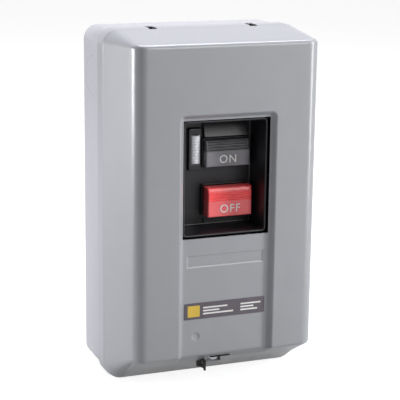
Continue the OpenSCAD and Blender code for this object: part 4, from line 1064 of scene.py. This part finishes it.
def make_camera():
    forward = Vector((math.sin(YAW) * math.cos(PITCH), math.cos(YAW) * math.cos(PITCH),
                      -math.sin(PITCH)))
    right = Vector((math.cos(YAW), -math.sin(YAW), 0))
    up = right.cross(forward)
    r2 = right * math.cos(ROLL) + up * math.sin(ROLL)
    u2 = -right * math.sin(ROLL) + up * math.cos(ROLL)
    data = bpy.data.cameras.new("camera")
    data.sensor_width = SENSOR_MM
    data.lens = LENS_MM
    data.clip_start = 0.01
    data.clip_end = 50
    cam = bpy.data.objects.new("camera", data)
    bpy.context.scene.collection.objects.link(cam)
    place_at = AIM - forward * RANGE
    rows = [[r2[k], u2[k], -forward[k], place_at[k]] for k in range(3)] + [[0, 0, 0, 1]]
    cam.matrix_world = Matrix(rows)
    bpy.context.scene.camera = cam


make_camera()


# glow of the floor and level of the world: as seen, in a reflection, in the world's reflection
FLOOR_GLOW, FLOOR_GLOSSY, MIRROR_LEVEL = 0.86, 0.4, 0.45


def floor_material():
    """Pale surface, lit by the lamps, with a little glow for the rays that see it."""
    m, nodes, links, bsdf = new_material("floor_pale")
    bsdf.inputs["Base Color"].default_value = (0.38, 0.38, 0.385, 1)
    bsdf.inputs["Roughness"].default_value = 0.9
    bsdf.inputs["Specular IOR Level"].default_value = 0.1
    glow = nodes.new("ShaderNodeEmission")
    path = nodes.new("ShaderNodeLightPath")
    total = path.outputs["Is Camera Ray"]
    for kind, share in (("Is Glossy Ray", FLOOR_GLOSSY), ("Is Transmission Ray", 1.0)):
        total = math_node(nodes, links, "MULTIPLY_ADD", path.outputs[kind], share, total)
    level = math_node(nodes, links, "MULTIPLY", total, FLOOR_GLOW)
    links.new(level, glow.inputs["Strength"])
    both = nodes.new("ShaderNodeAddShader")
    links.new(bsdf.outputs["BSDF"], both.inputs[0])
    links.new(glow.outputs["Emission"], both.inputs[1])
    links.new(both.outputs["Shader"], nodes["Material Output"].inputs["Surface"])
    return m


def make_floor():
    """Round floor just under the object; r is in m."""
    z = CAD_BOX[0][2] - 0.0002
    mesh = bpy.data.meshes.new("floor")
    r, n = 6.0, 48
    verts = [(0, 0, z)] + [(r * math.cos(2 * math.pi * k / n), r * math.sin(2 * math.pi * k / n),
                            z) for k in range(n)]
    faces = [(0, 1 + k, 1 + (k + 1) % n) for k in range(n)]
    mesh.from_pydata(verts, [], faces)
    mesh.materials.append(floor_material())
    floor = bpy.data.objects.new("floor", mesh)
    bpy.context.scene.collection.objects.link(floor)


make_floor()


def area(name, azimuth, elevation, distance, size, power, color, aim=(0, -0.05, 0)):
    """Soft box round the aim: azimuth from the front towards the left, in degrees; m and W."""
    a, e = math.radians(azimuth), math.radians(elevation)
    way = Vector((-math.sin(a) * math.cos(e), -math.cos(a) * math.cos(e), math.sin(e)))
    data = bpy.data.lights.new(name, "AREA")
    data.shape = "RECTANGLE"
    data.size, data.size_y = size
    data.energy = power
    data.color = color
    obj = bpy.data.objects.new(name, data)
    bpy.context.scene.collection.objects.link(obj)
    obj.location = Vector(aim) + way * distance
    obj.rotation_euler = (-way).to_track_quat("-Z", "Y").to_euler()
    obj.visible_camera = False


WARM, NEUTRAL, COOL = (1.0, 0.995, 0.985), (0.98, 0.98, 1.0), (0.92, 0.915, 1.0)
area("key_top", azimuth=-150, elevation=70, distance=1.3, size=(0.9, 0.9), power=22.5, color=COOL)
area("strip_left", azimuth=116, elevation=0, distance=1.1, size=(0.6, 0.36), power=10.3,
     color=NEUTRAL, aim=(0, -0.05, 0.06))
area("strip_right", azimuth=-58, elevation=0, distance=0.78, size=(0.17, 0.95), power=6.6,
     color=WARM, aim=(0, -0.05, 0.36))
area("front_right", azimuth=-19, elevation=25, distance=1.1, size=(0.4, 0.4), power=3.7,
     color=WARM)


def make_world():
    """White to the camera; for light, dim in front of the object and bright behind it."""
    world = bpy.data.worlds.new("studio")
    bpy.context.scene.world = world
    world.use_nodes = True
    nodes, links = world.node_tree.nodes, world.node_tree.links
    back = nodes["Background"]
    back.inputs["Color"].default_value = (1, 1, 1, 1)
    coords = nodes.new("ShaderNodeTexCoord")
    split = nodes.new("ShaderNodeSeparateXYZ")
    links.new(coords.outputs["Generated"], split.inputs["Vector"])
    level = nodes.new("ShaderNodeMapRange")
    level.interpolation_type = "SMOOTHSTEP"
    level.inputs["From Min"].default_value = 0.45
    level.inputs["From Max"].default_value = 0.95
    level.inputs["To Min"].default_value = 0.05
    level.inputs["To Max"].default_value = 1.0
    links.new(split.outputs["Y"], level.inputs["Value"])
    path = nodes.new("ShaderNodeLightPath")
    mirror = math_node(nodes, links, "MULTIPLY", path.outputs["Is Glossy Ray"], MIRROR_LEVEL)
    strength = math_node(nodes, links, "MAXIMUM", path.outputs["Is Camera Ray"],
                         path.outputs["Is Transmission Ray"])
    for other in (mirror, level.outputs["Result"]):
        strength = math_node(nodes, links, "MAXIMUM", strength, other)
    links.new(strength, back.inputs["Strength"])


make_world()

bpy.context.scene.view_settings.view_transform = "Standard"
